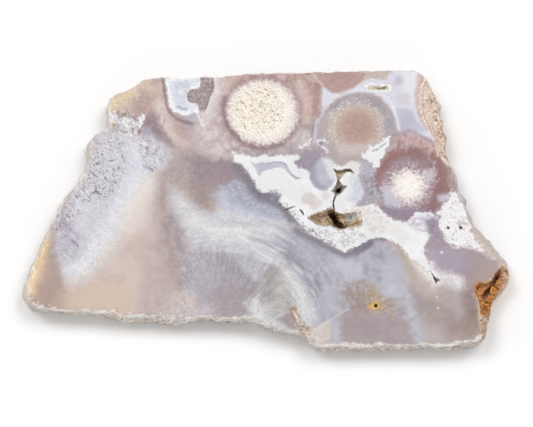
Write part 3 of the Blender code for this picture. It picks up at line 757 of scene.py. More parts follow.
        stripe(0.7, (200.5, 79), (201, 86), (198, 89.5), (190, 89.8), (187.6, 94), (188, 99), (192, 102)),
        stripe(0.7, (213, 79), (213.5, 88), (209, 98), (206, 108))), edge=0.25, ragged=0.2, strength=0.7),

    # The third flower
    Coat("third_top_arc", ((170, 148, 158),), (
        stripe(1.5, (394, 135.5), (402, 132), (409, 130.8), (416, 133.5), (426, 138), (434, 143)),),
        edge=0.5, ragged=0.3, strength=0.8),
    Coat("third_right_streak", ((150, 114, 117),), (
        stripe(4.0, (438, 190), (436, 204), (428, 206)),), edge=0.9, ragged=0.5, strength=0.7),
    Coat("third_right_grey", ((176, 156, 153), (164, 140, 140)), (
        area((448, 168), (454, 172), (459, 186), (457, 192), (451, 190), (448, 180)),), edge=0.9,
        ragged=0.6, by="fluff", strength=0.85),
    fluffy("third_violet", ((156, 144, 160), (140, 128, 146)), (
        area((380, 203), (392, 207), (408, 210), (426, 208), (424, 213), (412, 214), (406, 220), (396, 219),
        (386, 214)),), edge=0.9, ragged=0.9, strength=0.9),
    fluffy("third_left_blue", ((212, 212, 221), (186, 182, 198)), (
        area((379, 188), (388, 184), (396, 194), (406, 205), (396, 208), (385, 204)),), edge=1.1,
        ragged=1.2, strength=0.85),
    fluffy("third_feathers", ((222, 212, 213), (190, 172, 179)), (
        spot(408, 187, 19), area((420, 174), (434, 169), (435, 178), (426, 188))), edge=0.9, ragged=2.0,
        strength=0.85),
    fluffy("third_disc", ((247, 240, 232), (238, 228, 221)), (spot(408, 185, 14.5),), edge=1.0, ragged=2.0),
    Coat("third_heart", ((251, 246, 237),), (
        spot(409, 187, 10),), edge=1.3, ragged=1.0, by="fluff", strength=0.9),
    Coat("third_streaks", ((236, 230, 232),), (
        spot(409, 186, 26),), edge=0.3, ragged=1.0, by="third_rays", sparse=0.42, strength=0.6),

    # The white cloud and what it holds
    fluffy("blue_needles", ((158, 157, 173), (190, 191, 206)), (
        area((226, 186), (238, 182), (254, 192), (272, 205), (284, 217), (274, 219), (258, 212), (244, 208),
        (230, 200)),), edge=1.2, ragged=1.2, strength=0.9),
    fluffy("needles", ((108, 104, 116), (150, 144, 156)), (
        stripe(2.6, (235, 165), (243, 175), (250, 184)), stripe(4.8, (252, 188), (260, 196), (270, 199),
        (279, 203)), stripe(2.6, (281, 206), (286, 213), (291, 220))), edge=0.8, ragged=1.4, strength=0.92),
    Coat("cloud_shore", ((106, 100, 113),), (
        stripe(2.0, *DARK_SHORE), stripe(4.2, (356, 251), (363, 247), (370, 243))), edge=0.7, ragged=0.5,
        by="fluff", strength=0.9),
    Coat("cloud_shore_haze", ((142, 138, 150),), (
        stripe(4.6, *DARK_SHORE),), edge=1.1, ragged=0.7, by="fluff", strength=0.6),
    Coat("tan_shore", ((180, 162, 150), (194, 178, 165)), (
        stripe(1.7, (392, 240.5), (398, 245), (402, 251), (406, 259), (411, 270), (415, 280)),), edge=0.9,
        ragged=0.5, strength=0.8),
    Coat("cream_shore", ((226, 216, 208),), (
        stripe(1.6, (406, 250), (412, 259), (418, 266)),), edge=1.0, ragged=0.5, strength=0.8),
    Coat("cloud", ((247, 247, 248), (234, 233, 235)), (
        area(*CLOUD),), edge=0.2, ragged=0.75, by="fluff", figure="cloudy"),
    Coat("cloud_inside", ((237, 237, 238),), (
        area((262, 174), (284, 172), (296, 184), (308, 186), (318, 194), (330, 194), (330, 206), (300, 206),
        (284, 196), (262, 188)),), edge=0.8, ragged=0.4, strength=0.8),
    Coat("cloud_streak", ((198, 198, 209), (184, 183, 197)), (
        area(*CLOUD_STREAK),), edge=0.25, ragged=0.2, by="grain", strength=0.9),
    Coat("streak_crease", ((130, 130, 146),), (
        stripe(0.7, (279, 162), (284.5, 163.5), (288, 169), (291, 174), (296, 178), (300.5, 178)),
        stripe(0.6, (262, 163.4), (268, 163.4), (276, 161.9))), edge=0.35, ragged=0.3, by="grain",
        strength=0.75),
    Coat("cloud_blush", ((216, 205, 200), (226, 217, 212)), (
        area(*CLOUD_BLUSH), spot(325, 196, 3.5)), edge=0.45, ragged=0.35, strength=0.9),
    Coat("cloud_speckle", ((138, 134, 140),), (
        area((298, 220), (306, 226), (322, 230), (344, 233), (362, 231), (366, 236), (350, 246), (334, 246),
        (314, 238)), area((368, 206), (382, 214), (388, 222), (382, 232), (372, 233), (364, 222))),
        edge=0.35, ragged=1.0, by="fluff", sparse=0.12, strength=0.7),
    Coat("cloud_mottle", ((212, 210, 216),), (
        area(*CLOUD),), edge=0.5, ragged=1.0, by="fluff", sparse=0.34, strength=0.6),
    Coat("cloud_warm", ((228, 222, 214),), (
        area((364, 208), (376, 210), (390, 222), (404, 228), (412, 240), (404, 244), (388, 234),
        (368, 232)),), edge=0.8, ragged=0.8, strength=0.5),
    Coat("cloud_tatters", ((116, 112, 122),), (
        stripe(2.4, (233, 163), (240, 165), (245, 170), (249, 175), (252, 181), (255, 187), (262, 194),
        (268, 194), (274, 191), (279, 193), (280, 200), (288, 209), (301, 225), (320, 239), (334, 246)),),
        edge=0.3, ragged=1.0, by="fluff", sparse=0.16, strength=0.85),
    fluffy("orb_fringe", ((172, 163, 173), (144, 135, 148)), (area(*ORB_FRINGE),), edge=0.4, ragged=0.6),
    Coat("orb", ((182, 181, 193), (190, 190, 201)), (area(*ORB),), edge=0.4, ragged=0.2),
    Coat("orb_dark", ((158, 156, 172),), (
        stripe(2.6, (313.5, 170), (313.5, 179), (318, 186), (324, 188)),), edge=0.7, ragged=0.3,
        strength=0.8),
    Coat("orb_light", ((226, 227, 232),), (
        area((322, 158), (332, 160), (336, 174), (334, 182), (328, 176), (326, 166)),), edge=0.8,
        ragged=0.2, strength=0.9),
    Coat("orb_ring", ((204, 206, 216),), (
        stripe(0.8, (321, 179), (322, 175.5), (326, 176), (326.5, 180), (323, 182)),), edge=0.35,
        ragged=0.1, strength=0.7),
    Coat("lobe_blush", ((233, 229, 227),), (
        spot(341.3, 202.7, 5.0), spot(348, 180, 5.0)), edge=0.9, ragged=0.2, strength=0.8),
    fluffy("lobe_bluish", ((214, 217, 227), (200, 200, 212)), (
        area((353, 174), (361, 178), (365, 190), (364, 200), (356, 207), (350, 200), (352, 188)),),
        edge=1.3, ragged=0.9, strength=0.85),
    Coat("cream_band", ((234, 230, 224), (222, 218, 216)), (
        area((345, 165), (352, 161), (362, 164), (362, 173), (354, 172)),), edge=0.5, ragged=0.4),
    Coat("lilac_corner", ((174, 168, 180), (196, 192, 202)), (
        area((361, 163), (370, 164), (376, 168), (374, 178), (364, 177), (360, 172)),), edge=0.6,
        ragged=0.5, figure="grain"),
    fluffy("grey_pocket", ((152, 144, 154), (186, 181, 190)), (area(*GREY_POCKET),), edge=0.5, ragged=0.8),
    fluffy("fluffy_white", ((247, 247, 248), (228, 228, 231)), (
        area(*FLUFFY_WHITE),), edge=0.25, ragged=0.7),
    Coat("fluffy_marks", ((140, 142, 150),), (
        stripe(0.9, (373, 151), (377, 149.5), (379, 148.5)), stripe(0.6, (380, 147), (386, 143))),
        edge=0.25, ragged=0.3, by="grain", strength=0.8),

    # The sugary zone at the right
    fluffy("spiky_white", ((180, 168, 184), (244, 244, 248)), (
        area((407, 225), (413, 217), (424, 215), (431, 213), (436, 216), (434, 223), (436, 230), (426, 232),
        (415, 230)),), edge=0.6, ragged=1.4),
    Coat("violet_mark", ((130, 116, 134),), (
        area((425, 220), (434, 218), (440, 228), (438, 236), (429, 234)),), edge=1.0, ragged=0.9,
        by="fluff", strength=0.85),
    fluffy("mauve_tongue", ((154, 138, 152), (172, 158, 170)), (
        area((434, 224), (439, 227), (444, 236), (447, 244), (438, 248), (428, 246), (431, 236)),),
        edge=1.0, ragged=0.8),
    Coat("lilac_patch", ((202, 194, 206),), (
        area((439, 195), (447, 193), (450, 198), (444, 202), (438, 202)),), edge=0.7, ragged=0.6,
        strength=0.9),
    fluffy("sugar", ((250, 249, 250), (228, 225, 228)), (area(*SUGAR),), edge=0.3, ragged=1.1),
    Coat("sugar_specks", ((160, 148, 146),), (
        area(*SUGAR),), edge=0.2, ragged=1.0, by="stroke", sparse=0.5, strength=0.7),
    Coat("sugar_pits", ((92, 78, 72),), (
        spot(448.3, 227.5, 1.2), spot(460.7, 227.8, 1.4), spot(456.7, 231, 0.8), spot(453.5, 234.4, 0.8)),
        edge=0.3, ragged=0.2, strength=0.9),
    Coat("sugar_brown", ((186, 158, 138),), (
        stripe(1.0, (458, 222.5), (467, 224)),), edge=0.4, ragged=0.5, by="speck", strength=0.8),
    Coat("window_line", ((226, 222, 222),), (
        stripe(0.8, (452, 247), (466, 246.5), (478, 250), (495, 259.5)),), edge=0.4, ragged=0.4,
        strength=0.75),
    Coat("window_specks", ((236, 234, 236),), (
        spot(441.7, 252.2, 1.4), spot(431.7, 262.5, 1.2), spot(438, 308, 0.9), spot(437, 297, 0.8),
        spot(427, 250, 1.0)), edge=0.3, ragged=0.3, strength=0.85),
    Coat("fringe_fall", ((230, 226, 229), (202, 193, 198)), (
        area((442, 277), (456, 276), (462, 279), (463, 284), (456, 289), (449, 286)),), edge=1.3,
        ragged=1.1, by="upright", figure="upright", strength=0.8),
    Coat("amber_specks", ((146, 116, 84),), (
        area((348, 284), (366, 282), (380, 296), (396, 304), (396, 314), (372, 316), (350, 312)),),
        edge=0.22, ragged=1.0, by="grain", sparse=0.42, strength=0.6),
    Coat("amber_grains", ((222, 184, 108),), (
        spot(375, 305, 9), stripe(2.5, (376, 306), (390, 312), (392, 317))), edge=0.25, ragged=1.0,
        by="speck", sparse=0.30, strength=0.75),
    Coat("amber_ring", ((228, 190, 112), (206, 160, 84)), (
        spot(375.5, 305.3, 3.6), stripe(1.6, (369.5, 306.8), (374, 307.5))), edge=0.35, ragged=0.35,
        by="grain", figure="grain", strength=0.95),
    Coat("amber_heart", ((72, 42, 20),), (spot(375.8, 305.4, 1.2),), edge=0.35, ragged=0.1),
    Coat("violet_spot", ((164, 156, 174),), (spot(381, 257, 3.0),), edge=0.8, ragged=0.3, strength=0.7),

    # The open pockets
    Coat("vug_shore", ((104, 94, 88),), (
        stripe(0.9, (308, 218), (313, 215.3), (319, 212.6)), stripe(0.9, (308, 218), (316.5, 223.8),
        (323, 225.4), (331, 226), (338, 229.4)), stripe(0.6, (326, 209.6), (331, 208)), stripe(0.5,
        (340, 229.5), (345, 233))), edge=0.3, ragged=0.35, by="grain", strength=0.85),
    Coat("vug", ((228, 207, 180), (182, 152, 118)), (
        area(*VUG),), edge=0.15, ragged=0.15, by="grain", figure="fluff"),
    fluffy("vug_right", ((246, 242, 238), (218, 210, 202)), (
        area((346, 210), (356, 207), (364, 209), (366, 217), (360, 221), (350, 219), (345, 216)),),
        edge=0.7, ragged=0.6),
    fluffy("vug_foot", ((196, 178, 156), (150, 128, 106)), (
        area((347, 220), (360, 220), (363, 225), (352, 229), (344, 227)),), edge=0.6, ragged=0.6,
        strength=0.85),
    Coat("vug_orange", ((204, 142, 72),), (
        spot(357, 219.5, 2.2), spot(352, 223, 1.2)), edge=0.4, ragged=0.5, by="grain", strength=0.85),
    Coat("vug_brown", ((124, 92, 58),), (
        area(*VUG),), edge=0.2, ragged=1.0, by="fluff", sparse=0.3, strength=0.7),
    fluffy("vug_trench", ((66, 40, 18), (104, 68, 32)), (area(*VUG_TRENCH),), edge=0.45, ragged=0.6),
    Coat("crevices", ((112, 106, 106),), (
        stripe(0.6, (284, 209.5), (288, 208.8), (295, 206.2)), stripe(0.7, (299.5, 209.6), (302, 211.6),
        (303.8, 214.8)), stripe(0.6, (334.6, 197), (333.2, 201.5), (333, 206), (334.6, 210.8)), stripe(0.4,
        (430, 271), (434.5, 277), (440, 280)), stripe(0.5, (311, 216.5), (318, 213.5))), edge=0.22,
        ragged=0.2, by="grain", strength=0.85),
    Coat("star_shore", ((176, 162, 146), (206, 192, 172)), (
        area(*STAR_HOLE),), edge=0.25, ragged=0.15, by="grain"),
    Coat("star_outline", ((104, 96, 92),), (
        stripe(0.45, *STAR_HOLE, STAR_HOLE[0]),), edge=0.22, ragged=0.15, by="grain", strength=0.65),
    Coat("star_core", ((34, 16, 8),), (area(*STAR_CORE),), edge=0.35, ragged=0.2, by="grain"),
    Coat("fork", ((206, 188, 158), (226, 200, 158)), (
        area(*FORKED_HOLE),), edge=0.2, ragged=0.12, by="grain"),
    Coat("fork_outline", ((112, 106, 104),), (
        stripe(0.4, (333.5, 169), (336.5, 175), (338, 180), (342.5, 175.4), (346, 172.2), (350, 171.4),
        (354, 173)), stripe(0.45, (337.5, 170.4), (342, 170), (346, 168.7), (350.5, 168.7), (354, 173))),
        edge=0.22, ragged=0.12, by="grain", strength=0.7),
    Coat("slit_shore", ((246, 246, 249),), (
        stripe(1.6, *GOLD_SLIT, GOLD_SLIT[0]),), edge=0.35, ragged=0.25, by="grain", strength=0.9),
    Coat("slit", ((255, 254, 252), (250, 236, 208)), (
        area(*GOLD_SLIT),), edge=0.2, ragged=0.2, by="grain", figure="grain"),
    Coat("slit_shadow", ((140, 116, 94),), (
        stripe(0.35, (376, 85.8), (381, 87.2), (386, 86)), stripe(0.4, (384, 89.5), (388.5, 88.5)),
        stripe(0.3, (366, 87.5), (371, 89.8)), stripe(0.35, (385, 92), (392, 99))), edge=0.22, ragged=0.25,
        by="grain", strength=0.6),
    fluffy("crack", ((148, 110, 76), (178, 146, 114)), (
        stripe(2.6, (292.5, 310), (298, 319), (306, 333)), spot(305, 331, 4.2)), edge=0.7, ragged=0.7,
        strength=0.95),
    Coat("crack_heart", ((116, 84, 58),), (
        stripe(0.5, (296, 315), (301, 323), (305, 331)),), edge=0.3, ragged=0.25, strength=0.6),
    fluffy("rust", ((206, 132, 70), (150, 90, 46)), (area(*RUSTY_HOLLOW),), edge=0.3, ragged=0.5),
    fluffy("rust_bloom", ((224, 162, 112), (190, 120, 70)), (
        area((475, 284), (486, 283), (488, 290), (484, 297), (478, 298)),), edge=0.5, ragged=0.5),
    fluffy("rust_tan", ((236, 208, 184), (206, 160, 122)), (
        area((500, 268), (508, 260), (518, 270), (514, 290), (502, 300), (497, 304), (499, 290),
        (504, 278)),), edge=0.6, ragged=0.8),
    fluffy("rust_trail", ((222, 204, 184), (150, 110, 74)), (
        area((478, 315), (492, 311), (494, 344), (480, 344)), stripe(1.2, (497, 302), (492, 309),
        (489, 316))), edge=0.4, ragged=0.6),
    # Dark rust along the hollow's valley, deepened with painted shade
    fluffy("rust_and_valley_shade", ((96, 54, 26), (128, 76, 36)), (
        area(*RUSTY_VALLEY),), edge=0.5, ragged=0.7, strength=0.95),
    Coat("rust_grit", ((98, 56, 28),), (
        area(*RUSTY_HOLLOW),), edge=0.25, ragged=1.0, by="fluff", sparse=0.34, strength=0.75),
    Coat("rust_gold", ((236, 176, 92),), (
        area((476, 284), (500, 276), (500, 292), (490, 304), (486, 318), (478, 314)),), edge=0.3,
        ragged=-1.0, by="fluff", sparse=0.22, strength=0.85),

    # The rough skin at the upper right
    Coat("top_line", ((156, 136, 128),), (
        stripe(0.6, (150, 78), (164, 77), (200, 76), (216, 75.5), (262, 70.5), (300, 69), (352, 68),
        (400, 67.5), (414, 68.5)),), edge=0.3, ragged=0.7, by="ragged", strength=0.6),
    fluffy("skin", ((240, 222, 210), (214, 186, 166)), (area(*WEATHERED_SKIN),), edge=0.5, ragged=0.6),
    Coat("skin_sparks", ((250, 242, 234),), (
        area(*WEATHERED_SKIN),), edge=0.3, ragged=1.0, by="grain", sparse=0.22, strength=0.8),
    Coat("skin_pink", ((220, 192, 181),), (
        stripe(2.4, (419.5, 78), (418.5, 98), (421.5, 112), (428, 124), (435, 135), (441, 146)),), edge=0.9,
        ragged=0.5, by="fluff", strength=0.9),
    Coat("skin_brown", ((158, 118, 84),), (
        area((428, 92), (440, 96), (450, 130), (452, 162), (442, 156), (436, 136), (431, 116)),), edge=0.25,
        ragged=1.0, by="speck", sparse=0.2, strength=0.8),
    Coat("skin_orange", ((190, 138, 88),), (
        stripe(1.6, (443.5, 128), (446.5, 140), (447, 150)),), edge=0.5, ragged=0.6, strength=0.7),
)

# The crust's colours, its stains, its chips and painted edge highlight, the back's, and where the rim is glassy
# or sheltered
CRUST = (222, 212, 203)
CRUST_WARM = (196, 176, 158)
HOLLOW_STAIN = (124, 98, 80)
PALE_RIM = (246, 238, 227)
CHIP_AND_HIGHLIGHT_WHITE = (247, 244, 240)
BACK_GREY = (186, 178, 172)
GLASSY_RIM = (
    (455, 180), (470, 180), (500, 245), (520, 262), (500, 268), (488, 256), (474, 242), (466, 220),
    (458, 200),
)
SHELTERED_RIM = ((60, 300), (500, 330), (500, 420), (20, 420), (20, 300))


def linear(colour):
    """A colour read as seen, turned into the stone's own, for the light that falls on it here."""
    own = []
    for part in colour:
        share = part / 255
        bright = share / 12.92 if share <= 0.04045 else ((share + 0.055) / 1.055) ** 2.4
        own.append(min(PALEST, max(DARKEST, (bright - VEIL) / EXPOSURE)))
    return (*own, 1.0)


# Distances to the coats' shapes, in mm, positive inside

def face_line(points):
    """Points of the photograph as places on the face, in mm."""
    return np.array([tuple(on_face(*p)[:2]) for p in points]) / MM


def line_distance(places, line, closed):
    """How far each place is from a line of points."""
    nearest = np.full(len(places), FAR)
    ends = np.roll(line, -1, axis=0) if closed else line[1:]
    for start, end in zip(line, ends):
        along = end - start
        length = max(float(along @ along), 1e-9)
        share = np.clip((places - start) @ along / length, 0, 1)
        nearest = np.minimum(nearest, np.hypot(*(places - start - share[:, None] * along).T))
    return nearest


def inside(places, outline):
    """Whether each place is inside a closed outline."""
    within = np.zeros(len(places), bool)
    for start, end in zip(outline, np.roll(outline, -1, axis=0)):
        crosses = (start[1] > places[:, 1]) != (end[1] > places[:, 1])
        rise = end[1] - start[1] or 1e-9
        within ^= crosses & (places[:, 0] < start[0] + (places[:, 1] - start[1]) * (end[0] - start[0]) / rise)
    return within


def shape_distance(places, shape):
    """The signed distance from each place to a shape's edge, cut off at FAR."""
    kind = shape[0]
    reach = 0.0
    if kind == "spot":
        line = face_line([shape[1]])
        reach = shape[2] * PIXEL / MM
    elif kind == "stripe":
        line = face_line(shape[2])
        reach = shape[1] * PIXEL / MM
    else:
        line = face_line(shape[1])
    low = line.min(axis=0) - reach - FAR
    high = line.max(axis=0) + reach + FAR
    near = np.all((places > low) & (places < high), axis=1)
    distance = np.full(len(places), -FAR)
    some = places[near]
    if kind == "spot":
        found = reach - np.hypot(*(some - line[0]).T)
    elif kind == "stripe":
        found = reach - line_distance(some, line, closed=False)
    else:
        away = line_distance(some, line, closed=True)
        found = np.where(inside(some, line), away, -away)
    distance[near] = np.clip(found, -FAR, FAR)
    return distance


def coat_field(places, coat):
    """How far inside the coat each place is. A sparse coat is nowhere far inside."""
    field = np.max([shape_distance(places, shape) for shape in coat.shapes], axis=0)
    return np.minimum(field, 0) - coat.sparse if coat.sparse else field


# The stone's mesh

def at_height(bm, height):
    """The faces that lie level at this height."""
    return [f for f in bm.faces if all(abs(v.co.z - height) < FLAT for v in f.verts)]


def slice_up(bm, faces, axis, step):
    """Cuts flat faces across at every step along one axis."""
    normal = Vector((0, 0, 0))
    normal[axis] = 1
    low = min(v.co[axis] for f in faces for v in f.verts)
    high = max(v.co[axis] for f in faces for v in f.verts)
    done = []
    rest = list(faces)
    place = low + step
    while place < high - step * LEAST_STRIP:
        edges = {e for f in rest for e in f.edges}
        verts = {v for f in rest for v in f.verts}
        geometry = [*rest, *edges, *verts]
        cut = bmesh.ops.bisect_plane(bm, geom=geometry, dist=FLAT, plane_co=normal * place, plane_no=normal)
        rest = []
        for face in cut["geom"]:
            if isinstance(face, bmesh.types.BMFace):
                side = rest if face.calc_center_median()[axis] > place else done
                side.append(face)
        place += step
    return done + rest


def join_flat(bm, faces):
    """Joins the loose triangles of a flat face into as few faces as it needs."""
    edges = list({e for f in faces for e in f.edges})
    verts = list({v for f in faces for v in f.verts})
    bmesh.ops.dissolve_limit(bm, angle_limit=STRAIGHT, verts=verts, edges=edges)


def uneven(point):
    """Noise from about -1 to 1 in two sizes of lumps."""
    total = 0.0
    for lump, share in RELIEF_LUMPS:
        total += share * noise.fractal(point / lump + RELIEF_START, 1.0, 2.0, 3) * 1.6
    return total


def roughen(bm):
    """Lifts and lowers the rim and the pockets, but not the polished face, the back or their edges."""
    bm.normal_update()
    moved = {}
    for vert in bm.verts:
        under = (THICKNESS - vert.co.z) / MM
        over = vert.co.z / MM
        if under > STILL and over > STILL:
            fade = min(1.0, under / FADE_UNDER_FACE) * min(1.0, over / FADE_OVER_BACK)
            moved[vert] = vert.normal * uneven(vert.co) * RELIEF * fade
    for vert, shift in moved.items():
        vert.co += shift


def chip_edge(bm):
    """Breaks small chips out of the face's edge, deepest at the near side.

    Returns how near the edge each point is.
    """
    rim_line = [v for v in bm.verts if abs(v.co.z - THICKNESS) < FLAT and is_outer_edge(v)]
    edge_places = np.array([v.co[:2] for v in rim_line]) / MM
    shelter = face_line(SHELTERED_RIM)
    nearness = {}
    tops = [v for v in bm.verts if abs(v.co.z - THICKNESS) < FLAT]
    places = np.array([v.co[:2] for v in tops]) / MM
    close = nearest_distance(places, edge_places, EDGE_REACH)
    sheltered = inside(places, shelter)
    for vert, distance, near_side in zip(tops, close, sheltered):
        if distance >= EDGE_REACH:
            continue
        nearness[vert] = EDGE_REACH - distance
        lumps = noise.fractal(vert.co / CHIP_LUMP + CHIP_START, 0.8, 2.0, 4) * 1.5
        breaks = NEAR_SIDE_BREAKS if near_side else OTHER_SIDES_BREAK
        bite = lumps + breaks - distance / CHIP_REACH
        if bite > 0 and distance < CHIP_REACH:
            vert.co.z -= CHIP_DEPTH * min(1.0, bite)
    return nearness


def is_outer_edge(vert):
    """Whether a point of the face is where it meets the rim, and not a pocket."""
    return any(not f.tag for f in vert.link_faces) and any(f.tag for f in vert.link_faces)


def nearest_distance(places, points, reach):
    """How far each place is from the nearest of some points, cut off at reach, by cells of that size."""
    cells = {}
    for point in points:
        cells.setdefault((int(point[0] // reach), int(point[1] // reach)), []).append(point)
    found = np.full(len(places), reach)
    for i, place in enumerate(places):
        column, row = int(place[0] // reach), int(place[1] // reach)
        for c in (column - 1, column, column + 1):
            for r in (row - 1, row, row + 1):
                for point in cells.get((c, r), ()):
                    away = math.hypot(place[0] - point[0], place[1] - point[1])
                    if away < found[i]:
                        found[i] = away
    return found


# The finishes, by their places among the mesh's materials
POLISHED, RIM, POCKET, BACK = range(4)


def name_finishes(bm):
    """Gives each face the finish of its part of the stone, and tags the polished face."""
    for face in bm.faces:
        centre = face.calc_center_median()
        if THICKNESS - centre.z < FLAT:
            face.material_index = POLISHED
        elif centre.z < FLAT:
            face.material_index = BACK
        else:
            face.material_index = RIM
        face.tag = face.material_index == POLISHED
    mark_pockets(bm)


def mark_pockets(bm):
    """Marks as pockets the rough faces that can't be reached from the foot of the rim."""
    reached = {f for f in bm.faces if f.material_index == RIM and any(v.co.z < FLAT for v in f.verts)}
    front = list(reached)
    while front:
        face = front.pop()
        for edge in face.edges:
            for other in edge.link_faces:
                if other.material_index == RIM and other not in reached:
                    reached.add(other)
                    front.append(other)
    for face in bm.faces:
        if face.material_index == RIM and face not in reached:
            face.material_index = POCKET


def refined_stone():
    """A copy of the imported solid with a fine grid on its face, a broken edge and an uneven rim."""
    bm = bmesh.new()
    bm.from_mesh(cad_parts["agate_slice"].data)
    bmesh.ops.remove_doubles(bm, verts=bm.verts, dist=MERGE)
    flats = set(at_height(bm, THICKNESS)) | set(at_height(bm, 0.0))
    rough_edges = [e for e in bm.edges if not all(f in flats for f in e.link_faces)]
    bmesh.ops.subdivide_edges(bm, edges=rough_edges, cuts=ROUGH_CUTS, use_grid_fill=True)
    join_flat(bm, at_height(bm, THICKNESS) + at_height(bm, 0.0))
    for height, step in ((THICKNESS, FACE_CELL), (0.0, BACK_CELL)):
        strips = slice_up(bm, at_height(bm, height), 0, step)
        slice_up(bm, strips, 1, step)
    bmesh.ops.triangulate(bm, faces=bm.faces)
    edge_layer = bm.verts.layers.float.new("near_edge")
    depth_layer = bm.verts.layers.float.new("depth")
    name_finishes(bm)
    roughen(bm)
    for vert, near_edge in chip_edge(bm).items():
        vert[edge_layer] = near_edge
    for vert in bm.verts:
        vert[depth_layer] = (THICKNESS - vert.co.z) / MM
    mesh = bpy.data.meshes.new("dressed_agate_slice")
    bm.to_mesh(mesh)
    bm.free()
    return mesh


def lumpy(points, size, depth):
    """Noise at every point, from about -1 to 1, with lumps of about this size."""
    return np.array([noise.fractal(Vector(p) / size, 1.0, 2.0, depth) * 1.7 for p in points])


def about_plume(points, spokes, ring):
    """Points for noise that runs round the plume's foot or out from it."""
    centre = np.array(on_face(*PLUME_PX)[:2])
    offset = points[:, :2] - centre
    away = np.hypot(*offset.T)
    turned = offset / np.maximum(away, 1e-6)[:, None] * spokes
    return np.column_stack((turned, away / ring))


def soft_step(values):
    """Values eased from 0 to 1."""
    share = np.clip(values, 0, 1)
    return share * share * (3 - 2 * share)


# The noises of the broad coats: the size of their lumps and their detail
BROAD_NOISES = {
    "ragged": (1.5 * MM, 4),
    "fluff": (1.1 * MM, 4),
    "cloudy": (4.0 * MM, 3),
    "drift": (11.0 * MM, 2),
}


def paint_broadly(points, places):
    """The colour at every point after the ground colour and the broad coats."""
    noises = {kind: lumpy(points, *look) for kind, look in BROAD_NOISES.items()}
    noises["plume_rays"] = lumpy(about_plume(points, *PLUME_RAYS), 1.0, 3)
    noises["plume_bands"] = lumpy(about_plume(points, *PLUME_BANDS), 1.0, 3)
    spread = {kind: soft_step(values * 0.7 + 0.5)[:, None] for kind, values in noises.items()}
    first, second = (np.array(linear(c)) for c in GROUND)
    colour = first + (second - first) * spread["cloudy"]
    for coat in BROAD_COATS:
        reach = coat_field(places, coat) + noises[coat.by] * coat.ragged
        cover = soft_step(reach / (2 * coat.edge) + 0.5)[:, None] * coat.strength
        own = np.array(linear(coat.colours[0]))
        if len(coat.colours) > 1:
            own = own + (np.array(linear(coat.colours[1])) - own) * spread[coat.figure]
        colour = colour + (own - colour) * cover
    return colour


def keep_fields(mesh):
    """Keeps on the mesh how far each point is from the edge of every coat, and the broad coats' colour."""
    count = len(mesh.vertices)
    co = np.empty(count * 3, np.float32)
    mesh.vertices.foreach_get("co", co)
    places = co.reshape(-1, 3)[:, :2].astype(float) / MM
    fields = {"coat_" + coat.name: coat_field(places, coat) for coat in COATS}
    fields["glassy_rim"] = shape_distance(places, area(*GLASSY_RIM))
    clear = [shape_distance(places, area(*outline)) for outline in SMOOTH_AGATE]
    fields["smooth_agate"] = np.max(clear, axis=0)
    fields["sheltered_rim"] = shape_distance(places, area(*SHELTERED_RIM))
    for name, values in fields.items():
        attribute = mesh.attributes.new(name, "FLOAT", "POINT")
        attribute.data.foreach_set("value", values.astype(np.float32))
    painted = mesh.attributes.new("broad_colour", "FLOAT_COLOR", "POINT")
    colours = paint_broadly(co.reshape(-1, 3).astype(float), places)
    painted.data.foreach_set("color", colours.astype(np.float32).ravel())


# Nodes

def add(tree, kind, inputs=None, **settings):
    """Adds a node with its settings, and sets or links its inputs by name or number."""
    made = tree.nodes.new(kind)
    for key, value in settings.items():
        setattr(made, key, value)
    for key, value in (inputs or {}).items():
        if isinstance(value, bpy.types.NodeSocket):
            tree.links.new(value, made.inputs[key])
        else:
            made.inputs[key].default_value = value
    return made


def math_node(tree, operation, *values):
    """One operation on single values."""
    made = add(tree, "ShaderNodeMath", dict(enumerate(values)), operation=operation)
    return made.outputs[0]


def vector_node(tree, operation, *values):
    """One operation on vectors or colours."""
    made = add(tree, "ShaderNodeVectorMath", dict(enumerate(values)), operation=operation)
    return made.outputs["Value" if operation == "LENGTH" else "Vector"]


def mixed(tree, share, under, over):
    """One colour laid over another by a share."""
    made = add(tree, "ShaderNodeMix", {0: share, 6: under, 7: over}, data_type="RGBA")
    return made.outputs[2]


def ramped(tree, value, low, high, start=0.0, end=1.0):
    """A value eased from start to end while it goes from low to high."""
    made = add(tree, "ShaderNodeMapRange", {
        "Value": value, "From Min": low, "From Max": high, "To Min": start, "To Max": end,
    }, interpolation_type="SMOOTHSTEP")
    return made.outputs["Result"]


def field(tree, name):
    """One of the distances kept on the mesh."""
    return add(tree, "ShaderNodeAttribute", attribute_name=name).outputs["Fac"]


def noise_share(tree, vector, size, detail, roughness=0.55, distortion=0.0):
    """Noise from 0 to 1 whose lumps are about this size."""
    made = add(tree, "ShaderNodeTexNoise", {
        "Vector": vector, "Scale": 1 / size, "Detail": detail, "Roughness": roughness,
        "Distortion": distortion,
    })
    return made.outputs["Fac"]


def rays_about(tree, place, centre_px, spokes, ring_size):
    """Coordinates for noise that runs out from a centre like the fibres of a flower."""
    centre = on_face(*centre_px)
    flat = vector_node(tree, "MULTIPLY", place, (1, 1, 0))
    offset = vector_node(tree, "SUBTRACT", flat, (centre.x, centre.y, 0))
    away = vector_node(tree, "LENGTH", offset)
    lift = add(tree, "ShaderNodeCombineXYZ", {"Z": math_node(tree, "MULTIPLY", away, 1 / ring_size)})
    turned = vector_node(tree, "MULTIPLY", vector_node(tree, "NORMALIZE", offset), (spokes, spokes, spokes))
    return vector_node(tree, "ADD", turned, lift.outputs[0])


